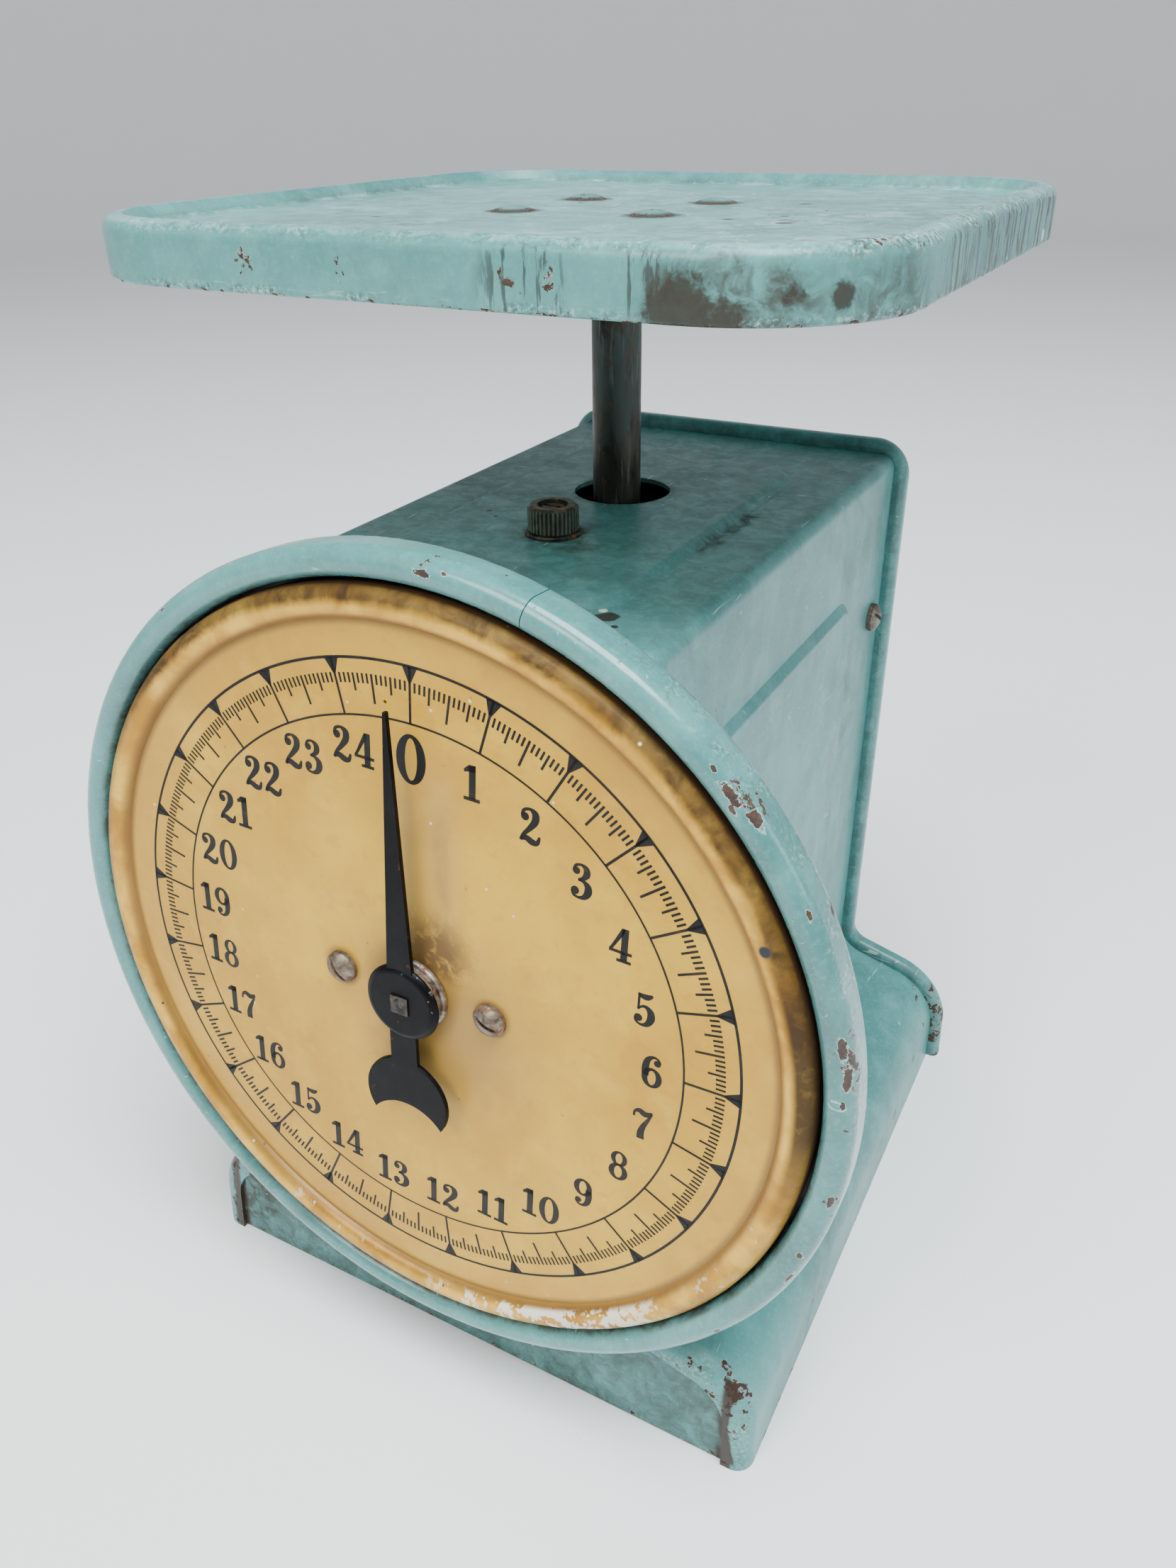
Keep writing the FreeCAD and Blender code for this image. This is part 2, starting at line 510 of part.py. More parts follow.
for y, z, r in ((LINK_MOVING_Y, LINK_UP_Z, PIN_R + 0.03), (LINK_MOVING_Y, LINK_LOW_Z, PIN_R + 0.03), (ADJ_Y, 72.0, 2.03)):
    yoke = yoke.cut(rod((-30, y, z), (1, 0, 0), r, 60))
for x, z in RACK_RIVETS:
    yoke = yoke.cut(rod((x, -60, z), (0, 1, 0), 0.93, 30))
node("yoke", one(yoke))


def pin(half, head_at, head_t, y, z, r=PIN_R, head_r=2.4):
    s = rod((-half, y, z), (1, 0, 0), r, 2 * half)
    for sx in (1, -1):
        s = s.fuse(rod((sx * head_at, y, z), (sx, 0, 0), head_r, head_t))
    return one(s)


node("yoke_pin_upper", pin(17.0, 16.2, 1.0, LINK_MOVING_Y, LINK_UP_Z))
node("yoke_pin_lower", pin(17.0, 16.2, 1.0, LINK_MOVING_Y, LINK_LOW_Z))
node("spring_bar", one(pin(25.0, 23.4, 1.4, ADJ_Y, 72.0, 2.0, 3.0)))

# ------------------------------------------------------------------ post, spider and platform
post = rod((0, POST_Y, WEB_Z + 1.5), (0, 0, 1), POST_R, 222.6 - WEB_Z - 1.5)
post = post.fuse(rod((0, POST_Y, WEB_Z - 7.5), (0, 0, 1), 3.0, 10)).fuse(rod((0, POST_Y, 222.0), (0, 0, 1), 3.2, 3.4))
post = one(post.fuse(spin_z([(0.0, 224.4), (4.6, 224.4), (dome(4.6, 224.4, 1.8), (0.0, 226.2))], 0, POST_Y)))
node("post", post)
pn = hexa(5.0, 4.6, (0, POST_Y, WEB_Z), (0, 0, -1)).cut(rod((0, POST_Y, WEB_Z - 10), (0, 0, 1), 3.03, 20))
node("post_nut", pn)
SPIDER_Z = PLATFORM_FLOOR_Z - SHEET
spider = spin_z([(3.23, 222.6), (11.0, 222.6), (14.6, SPIDER_Z - 1.8), (27.0, SPIDER_Z - 1.8), (27.0, SPIDER_Z), (13.8, SPIDER_Z), (10.2, 224.4), (3.23, 224.4)],
                0, POST_Y)
PLAT_RIVETS = [(sx * 14.0, POST_Y + sy * 14.0) for sx in (1, -1) for sy in (1, -1)]
for x, y in PLAT_RIVETS:
    spider = spider.cut(rod((x, y, 215), (0, 0, 1), 1.83, 20))
node("platform_spider", one(spider))


def square(half, r, z, cy=PLATFORM_Y):
    return path(rounded([(half, cy + half), (-half, cy + half), (-half, cy - half), (half, cy - half)], [r] * 4),
                lambda x, y: V(x, y, z))


PH, PR = PLATFORM_HALF, PLATFORM_CORNER_R
tray = prism(square(PH, PR, PLATFORM_LOW_Z), (0, 0, PLATFORM_TOP_Z - PLATFORM_LOW_Z))
tray = round_edges(tray, 2.4, lambda e: all(abs(v.Point.z - PLATFORM_TOP_Z) < 1e-4 for v in e.Vertexes))
# sunk floor inside the raised rim
sink = Part.makeLoft([square(PH - 5.6, PR - 5.6, PLATFORM_FLOOR_Z), square(PH - 3.2, PR - 3.2, PLATFORM_TOP_Z + 0.3)], True)
sink = round_edges(sink, 1.6, lambda e: all(abs(v.Point.z - PLATFORM_FLOOR_Z) < 1e-4 for v in e.Vertexes))
tray = tray.cut(sink)
# hollow underside
low = PLATFORM_FLOOR_Z - SHEET
under = prism(square(PH - SHEET, PR - SHEET, PLATFORM_LOW_Z - 1), (0, 0, low - PLATFORM_LOW_Z + 1))
tray = tray.cut(under)
gutter = prism(square(PH - SHEET, PR - SHEET, low - 0.5), (0, 0, PLATFORM_TOP_Z - 1.9 - low))
gutter = gutter.cut(prism(square(PH - 4.8, PR - 4.8, low - 1), (0, 0, 8)))
gutter = gutter.cut(prism(square(PH - 7.4, PR - 7.4, low - 1), (0, 0, 2)))
gutter = round_edges(gutter, 1.0, lambda e: all(abs(v.Point.z - (PLATFORM_TOP_Z - 2.4)) < 1e-3 for v in e.Vertexes)
                     and all(abs(v.Point.x) > PH - 1.2 or abs(v.Point.y - PLATFORM_Y) > PH - 1.2 or True for v in e.Vertexes))
tray = tray.cut(gutter)
# turned-in hem along the lower edge
hem = prism(square(PH - 0.2, PR - 0.2, PLATFORM_LOW_Z), (0, 0, 1.7)).cut(prism(square(PH - 2.0, PR - 2.0, PLATFORM_LOW_Z - 1), (0, 0, 4)))
tray = one(tray.fuse(hem))
tray = round_edges(tray, 0.6, lambda e: all(abs(v.Point.z - PLATFORM_LOW_Z) < 1e-4 for v in e.Vertexes))
for x, y in PLAT_RIVETS:
    tray = tray.cut(rod((x, y, 215), (0, 0, 1), 1.83, 20))
node("platform_tray", one(tray))
pr = []
for x, y in PLAT_RIVETS:
    a, b = PLATFORM_FLOOR_Z, SPIDER_Z - 1.8
    pr.append(spin_z([(0.0, a + 1.0), (dome(4.2, a, 1.0), (4.2, a)), (1.8, a), (1.8, b), (3.0, b), (dome(3.0, b, 1.1, -1), (0.0, b - 1.1))], x, y))
node("platform_rivets", Part.makeCompound(pr))

# ------------------------------------------------------------------ check links, drawn level and tipped up at the front
LINK_L = LINK_FIXED_Y - LINK_MOVING_Y
TIP = math.degrees(math.atan2(HALF_TRAVEL, LINK_L))
FAR = math.hypot(LINK_L, HALF_TRAVEL)


def link(z_moving):
    parts = None
    for sx in (1, -1):
        a, b = sorted((sx * 14.6, sx * 15.8))
        w = path([(0.0, 4.4), ((4.4, 0.0), (0.0, -4.4)), (-FAR, -4.4), ((-FAR - 4.4, 0.0), (-FAR, 4.4))], lambda y, z: V(a, y, z))
        s = prism(w, (b - a, 0, 0))
        s = s.cut(rod((a - 1, 0, 0), (1, 0, 0), PIN_R + 0.05, 4))
        r = PIN_R + 0.06
        c0, c1 = -FAR - 0.08, -LINK_L + 0.08
        slot = path([(c1, r), ((c1 + r, 0.0), (c1, -r)), (c0, -r), ((c0 - r, 0.0), (c0, r))], lambda y, z: V(a - 1, y, z))
        s = s.cut(prism(slot, (4, 0, 0)))
        parts = s if parts is None else parts.fuse(s)
    parts = parts.fuse(box(-15.0, 15.0, -36.0, -18.0, -4.4, -3.2))
    parts = one(parts)
    parts.rotate(V(0, 0, 0), V(1, 0, 0), -TIP)
    parts.translate(V(0, LINK_FIXED_Y, z_moving - HALF_TRAVEL))
    return parts


node("link_upper", link(LINK_UP_Z))
node("link_lower", link(LINK_LOW_Z))

# ------------------------------------------------------------------ pivot bracket on the rear panel
bracket = box(-19.0, 19.0, WRAP_END - 1.5, WRAP_END, 36.0, 118.0)
for sx in (1, -1):
    a, b = sorted((sx * 17.5, sx * 19.0))
    w = path(rounded([(WRAP_END - 0.5, 36.0), (WRAP_END - 0.5, 118.0), (61.0, 112.0), (58.0, 102.0), (64.0, 75.0), (58.0, 48.0), (61.0, 38.0)],
                     [0, 0, 4, 4, 12, 4, 4]), lambda y, z: V(a, y, z))
    bracket = bracket.fuse(prism(w, (b - a, 0, 0)))
for z in (LINK_UP_Z, LINK_LOW_Z):
    bracket = bracket.cut(rod((-30, LINK_FIXED_Y, z - HALF_TRAVEL), (1, 0, 0), PIN_R + 0.03, 60))
for x, z in BRACKET_RIVETS:
    bracket = bracket.cut(rod((x, 50, z), (0, 1, 0), 1.56, 40))
node("pivot_bracket", one(bracket))
node("pivot_pin_upper", pin(20.0, 19.0, 1.2, LINK_FIXED_Y, LINK_UP_Z - HALF_TRAVEL))
node("pivot_pin_lower", pin(20.0, 19.0, 1.2, LINK_FIXED_Y, LINK_LOW_Z - HALF_TRAVEL))
br = []
ya, yb = WRAP_END - 1.5, WRAP_END + SHEET
for x, z in BRACKET_RIVETS:
    s = spin([(0.0, ya - 1.2), (dome(2.9, ya, 1.2, -1), (2.9, ya)), (1.5, ya), (1.5, yb), (2.9, yb), (dome(2.9, yb, 1.5), (0.0, yb + 1.5))])
    s.translate(V(x, 0, z))
    br.append(s)
node("bracket_rivets", Part.makeCompound(br))

# ------------------------------------------------------------------ side screws through wrap and rear panel
cs = []
for sx in (1, -1):
    hd = slotted_head(3.4, 2.7, 1.2, 0.9, 1.1).fuse(rod((0, -0.2, 0), (0, 1, 0), 1.6, 5.2)).removeSplitter()
    hd.rotate(V(0, 0, 0), V(0, 1, 0), 35.0)
    hd.Placement = FreeCAD.Placement(V(sx * CASE_HALF_W, CASE_SCREW_Y, CASE_SCREW_Z),
                                     FreeCAD.Rotation(V(0, 1, 0), V(-sx, 0, 0))).multiply(hd.Placement)
    cs.append(hd)
node("case_screws", Part.makeCompound(cs))

# ------------------------------------------------------------------ zero adjuster and spring hanger
SEAT_Z = CASE_TOP_Z + PAD_H
washer = spin_z([(2.7, SEAT_Z), (5.6, SEAT_Z), (5.6, SEAT_Z + 0.4), (5.3, SEAT_Z + 0.7), (2.7, SEAT_Z + 0.7)], 0, ADJ_Y)
node("adjuster_washer", washer)
KNOB_Z = SEAT_Z + 0.7
KNOB_H = 5.0
n = 36
star = []
for k in range(n):
    a = 2 * math.pi * k / n
    for da, r in ((-0.32, 4.66), (-0.15, 4.92), (0.15, 4.92), (0.32, 4.66)):
        t = a + da * 2 * math.pi / n
        star.append((r * math.cos(t), r * math.sin(t)))
knob = prism(path(star, lambda x, y: V(x, ADJ_Y + y, KNOB_Z)), (0, 0, KNOB_H))
limit = spin_z([(0.0, KNOB_Z), (4.6, KNOB_Z), (5.1, KNOB_Z + 0.5), (5.1, KNOB_Z + KNOB_H - 0.8), (4.3, KNOB_Z + KNOB_H), (0.0, KNOB_Z + KNOB_H)], 0, ADJ_Y)
knob = knob.common(limit)
knob = knob.cut(rod((0, ADJ_Y, KNOB_Z - 1), (0, 0, 1), 2.56, 20)).cut(rod((0, ADJ_Y, KNOB_Z + KNOB_H - 1.3), (0, 0, 1), 3.0, 5))
node("adjuster_nut", knob)
SCREW_TOP, SCREW_LOW, THREAD_P = KNOB_Z + KNOB_H - 0.4, 144.3, 0.8
prof = [(0.0, SCREW_LOW), (2.1, SCREW_LOW)]
z = SCREW_LOW + 0.4
while z < SCREW_TOP - 1.2:
    prof += [(2.5, z), (2.5, z + 0.1), (2.12, z + 0.45)]
    z += THREAD_P
prof += [(2.5, SCREW_TOP - 0.6), (2.1, SCREW_TOP), (0.0, SCREW_TOP)]
scr = spin_z(prof, 0, ADJ_Y).cut(box(-3, 3, ADJ_Y - 0.45, ADJ_Y + 0.45, SCREW_TOP - 1.0, SCREW_TOP + 1))
node("adjuster_screw", scr)
HANG_Z0, HANG_Z1 = 149.0, 150.8
edge = [(26.0, 2.6), (22.4, 2.6), (22.4, 0.9), (19.6, 0.9), (19.6, 2.6), (16.0, 2.6), (12.0, 4.5)]
ring_pts = edge + [(-x, y) for x, y in reversed(edge)] + [(-x, -y) for x, y in edge] + [(x, -y) for x, y in reversed(edge)]
hang = path(ring_pts, lambda x, y: V(x, ADJ_Y + y, HANG_Z0))
hanger = prism(hang, (0, 0, HANG_Z1 - HANG_Z0)).cut(rod((0, ADJ_Y, 140), (0, 0, 1), 2.53, 20))
node("spring_hanger", hanger)
hn = hexa(4.0, 3.6, (0, ADJ_Y, HANG_Z0), (0, 0, -1)).cut(rod((0, ADJ_Y, 140), (0, 0, 1), 2.53, 20))
node("hanger_nut", hn)

# ------------------------------------------------------------------ extension springs
COIL_Z0, COIL_Z1 = 82.0, 138.0
EYE_R = 3.65
EYE_UP_Z = HANG_Z1 + 0.35 - (EYE_R - SPRING_WIRE_R)
EYE_LOW_Z = 72.0 - 2.0 - 0.45 + (EYE_R - SPRING_WIRE_R)


def bead_line(pts, r):
    s = None
    for i, p in enumerate(pts):
        b = Part.makeSphere(r, V(*p))
        s = b if s is None else s.fuse(b)
        if i:
            q = pts[i - 1]
            d = V(*p) - V(*q)
            s = s.fuse(Part.makeCylinder(r, d.Length, V(*q), d))
    return s


def spring(sx):
    turns = 22
    pitch = (COIL_Z1 - COIL_Z0) / turns
    hx = Part.makeHelix(pitch, COIL_Z1 - COIL_Z0, SPRING_MEAN_R)
    slope = math.atan2(pitch, 2 * math.pi * SPRING_MEAN_R)
    c = Part.Wire([Part.Circle(V(SPRING_MEAN_R, 0, 0), V(0, math.cos(slope), math.sin(slope)), SPRING_WIRE_R).toShape()])
    coil = Part.Wire(hx.Edges).makePipeShell([c], True, True)
    coil = Part.makeSolid(coil) if coil.ShapeType != "Solid" else coil
    coil.translate(V(0, 0, COIL_Z0))
    r = SPRING_WIRE_R
    up = bead_line([(SPRING_MEAN_R, 0, COIL_Z1), (SPRING_MEAN_R * 0.6, 0, COIL_Z1 + 2.0), (0, 0, EYE_UP_Z - EYE_R)], r * 0.97)
    dn = bead_line([(SPRING_MEAN_R, 0, COIL_Z0), (SPRING_MEAN_R * 0.6, 0, COIL_Z0 - 2.0), (0, 0, EYE_LOW_Z + EYE_R)], r * 0.97)
    e1 = Part.makeTorus(EYE_R, r, V(0, 0, EYE_UP_Z), V(1, 0, 0))
    e2 = Part.makeTorus(EYE_R, r, V(0, 0, EYE_LOW_Z), V(1, 0, 0))
    s = coil.fuse([up, dn, e1, e2])
    s = s.Solids[0] if len(s.Solids) == 1 else s
    s.translate(V(sx * SPRING_X, ADJ_Y, 0))
    return s


node("spring_left", spring(-1))
node("spring_right", spring(1))

# ------------------------------------------------------------------ write one file per node
whole = None
for name, shape in NODES.items():
    bad = [i for i, s in enumerate(shape.Solids) if not s.isValid()]
    b = shape.BoundBox
    print("%-18s solids %d vol %9.1f  x %.1f %.1f  y %.1f %.1f  z %.1f %.1f %s"
          % (name, len(shape.Solids), shape.Volume, b.XMin, b.XMax, b.YMin, b.YMax, b.ZMin, b.ZMax, "INVALID" if bad or not shape.Solids else ""))
    shape.exportStep("parts/%s.step" % name)
    whole = b if whole is None else whole.united(b)
print("overall", whole)
print("travel", round(TRAVEL, 4), "link tip", round(TIP, 4))
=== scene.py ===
import bpy
import math
from mathutils import Matrix, Vector


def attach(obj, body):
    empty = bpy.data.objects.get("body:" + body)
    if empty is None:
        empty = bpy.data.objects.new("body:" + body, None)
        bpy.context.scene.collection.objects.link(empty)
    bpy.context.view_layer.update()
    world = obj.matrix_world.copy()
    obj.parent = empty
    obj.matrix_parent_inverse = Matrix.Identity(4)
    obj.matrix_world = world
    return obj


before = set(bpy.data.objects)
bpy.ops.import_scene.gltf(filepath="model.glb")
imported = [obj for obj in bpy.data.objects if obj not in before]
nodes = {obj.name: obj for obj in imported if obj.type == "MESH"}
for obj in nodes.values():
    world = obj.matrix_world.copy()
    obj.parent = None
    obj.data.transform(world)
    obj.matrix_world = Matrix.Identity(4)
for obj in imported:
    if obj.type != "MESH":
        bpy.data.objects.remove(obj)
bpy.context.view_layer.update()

# ------------------------------------------------------------------ places on the object, millimetres
MM = 0.001
DIAL_Y, DIAL_Z = -72.2, 103.3
LEAN = math.radians(4.0)
CT, ST = math.cos(LEAN), math.sin(LEAN)
PRINT_TURN = -math.radians(2.1)      # the dial sits a little turned in its housing
SCALE_R, INNER_R, FIGURE_R = 65.0, 54.8, 48.8
PRINT_PROUD = 0.035                  # ink stands this far off the face
TRAY_Y, POST_Y, KNOB_Y = 8.66, 10.4, -16.2
FLOOR_Z = 229.5


def dial_point(u, w, off=0.0):
    """Dial coordinates in mm (right, up, towards the reader) to the row frame in metres."""
    return Vector((u, DIAL_Y - off * CT + w * ST, DIAL_Z + off * ST + w * CT)) * MM


# ------------------------------------------------------------------ node-material builder
class Shader:
    """Principled material whose patterns are laid out in millimetres of the row frame."""

    def __init__(self, name):
        self.m = bpy.data.materials.new(name)
        self.m.use_nodes = True
        self.t = self.m.node_tree
        self.t.nodes.clear()
        out = self.t.nodes.new("ShaderNodeOutputMaterial")
        self.b = self.t.nodes.new("ShaderNodeBsdfPrincipled")
        self.t.links.new(self.b.outputs[0], out.inputs[0])
        tc = self.t.nodes.new("ShaderNodeTexCoord")
        self.p = self.vec("SCALE", tc.outputs["Object"], scale=1000.0)
        s = self.t.nodes.new("ShaderNodeSeparateXYZ")
        self.put(s.inputs[0], self.p)
        self.x, self.y, self.z = s.outputs
        self.normal = None

    def put(self, socket, v):
        if isinstance(v, bpy.types.NodeSocket):
            self.t.links.new(v, socket)
        elif isinstance(v, (tuple, list)):
            socket.default_value = tuple(v) + (1.0,) if len(socket.default_value) == 4 and len(v) == 3 else tuple(v)
        else:
            socket.default_value = v

    def op(self, kind, a, b=0.0, c=0.0, clamp=False):
        n = self.t.nodes.new("ShaderNodeMath")
        n.operation, n.use_clamp = kind, clamp
        for i, v in enumerate((a, b, c)):
            self.put(n.inputs[i], v)
        return n.outputs[0]

    def mul(self, *v):
        r = v[0]
        for k in v[1:]:
            r = self.op("MULTIPLY", r, k)
        return r

    def most(self, *v):
        r = v[0]
        for k in v[1:]:
            r = self.op("MAXIMUM", r, k)
        return r

    def inv(self, v):
        return self.op("SUBTRACT", 1.0, v)

    def vec(self, kind, a, b=(0, 0, 0), scale=1.0):
        n = self.t.nodes.new("ShaderNodeVectorMath")
        n.operation = kind
        self.put(n.inputs[0], a)
        if kind == "SCALE":
            n.inputs["Scale"].default_value = scale
        elif kind != "LENGTH":
            self.put(n.inputs[1], b)
        return n.outputs["Value"] if kind in ("DOT_PRODUCT", "LENGTH", "DISTANCE") else n.outputs["Vector"]

    def step(self, v, a, b, lo=0.0, hi=1.0):
        n = self.t.nodes.new("ShaderNodeMapRange")
        n.interpolation_type = "SMOOTHSTEP"
        for i, k in enumerate((v, a, b, lo, hi)):
            self.put(n.inputs[i], k)
        return n.outputs[0]

    def noise(self, size, detail=3.0, rough=0.55, warp=0.0, squash=(1, 1, 1), seed=0.0):
        m = self.t.nodes.new("ShaderNodeMapping")
        m.inputs["Location"].default_value = (seed * 3.17, seed * 1.31, seed * 2.23)
        m.inputs["Scale"].default_value = tuple(k / size for k in squash)
        self.put(m.inputs["Vector"], self.p)
        n = self.t.nodes.new("ShaderNodeTexNoise")
        n.inputs["Scale"].default_value = 1.0
        n.inputs["Detail"].default_value = detail
        n.inputs["Roughness"].default_value = rough
        n.inputs["Distortion"].default_value = warp
        self.put(n.inputs["Vector"], m.outputs[0])
        return n.outputs["Fac"]

    def spots(self, size, radius, seed=0.0, squash=(1, 1, 1), random=1.0):
        m = self.t.nodes.new("ShaderNodeMapping")
        m.inputs["Location"].default_value = (seed * 2.7, seed * 4.1, seed * 1.9)
        m.inputs["Scale"].default_value = tuple(k / size for k in squash)
        self.put(m.inputs["Vector"], self.p)
        n = self.t.nodes.new("ShaderNodeTexVoronoi")
        n.inputs["Scale"].default_value = 1.0
        n.inputs["Randomness"].default_value = random
        self.put(n.inputs["Vector"], m.outputs[0])
        return self.step(n.outputs["Distance"], radius / size, radius / size * 0.5)

    def near(self, point, radius, soft=0.5, squash=(1, 1, 1)):
        """Soft ball of that radius round a point, in mm."""
        d = self.vec("LENGTH", self.vec("MULTIPLY", self.vec("SUBTRACT", self.p, point), squash))
        return self.step(d, radius, radius * (1 - soft))

    def mix(self, f, a, b, mode="MIX"):
        n = self.t.nodes.new("ShaderNodeMix")
        n.data_type, n.blend_type = "RGBA", mode
        self.put(n.inputs[0], f)
        self.put(n.inputs[6], a)
        self.put(n.inputs[7], b)
        return n.outputs[2]

    def facing(self, axis):
        g = self.t.nodes.new("ShaderNodeNewGeometry")
        return self.vec("DOT_PRODUCT", g.outputs["Normal"], axis)

    def bump(self, height, depth_mm, strength=1.0):
        n = self.t.nodes.new("ShaderNodeBump")
        n.inputs["Distance"].default_value = depth_mm * MM
        n.inputs["Strength"].default_value = strength
        self.put(n.inputs["Height"], height)
        if self.normal is not None:
            self.put(n.inputs["Normal"], self.normal)
        self.normal = n.outputs[0]

    def dial_frame(self):
        """Right, up, depth behind the face, radius and clockwise angle from the top in degrees, all on the dial."""
        q = self.vec("SUBTRACT", self.p, (0.0, DIAL_Y, DIAL_Z))
        w = self.vec("DOT_PRODUCT", q, (0.0, ST, CT))
        d = self.vec("DOT_PRODUCT", q, (0.0, CT, -ST))
        r = self.op("SQRT", self.op("ADD", self.mul(self.x, self.x), self.mul(w, w)))
        a = self.op("DEGREES", self.op("ARCTAN2", self.x, w))
        return self.x, w, d, r, a

    def done(self, color, rough, metal=0.0, coat=0.0, coat_rough=0.2, spec=0.5):
        self.put(self.b.inputs["Base Color"], color)
        self.put(self.b.inputs["Roughness"], rough)
        self.put(self.b.inputs["Metallic"], metal)
        self.b.inputs["Coat Weight"].default_value = coat
        self.b.inputs["Coat Roughness"].default_value = coat_rough
        self.b.inputs["Specular IOR Level"].default_value = spec
        if self.normal is not None:
            self.put(self.b.inputs["Normal"], self.normal)
        return self.m


def sector(s, angle, a0, a1, soft=4.0):
    """1 between two dial angles in degrees, fading over soft."""
    return s.mul(s.step(angle, a0 - soft, a0 + soft), s.step(angle, a1 + soft, a1 - soft))


# ------------------------------------------------------------------ old teal enamel
TEAL = (0.084, 0.262, 0.255)
TEAL_PALE = (0.155, 0.380, 0.374)
TEAL_DEEP = (0.052, 0.172, 0.168)
BARE = (0.030, 0.019, 0.014)
RUST = (0.075, 0.034, 0.018)
PRIMER = (0.62, 0.64, 0.58)
# GRIME_AND_SHADE is the grey of rubbed-in dirt, and also the colour of painted shade where a dirt mask carries it
GRIME_AND_SHADE = (0.045, 0.046, 0.034)
FEET_X = 65.0


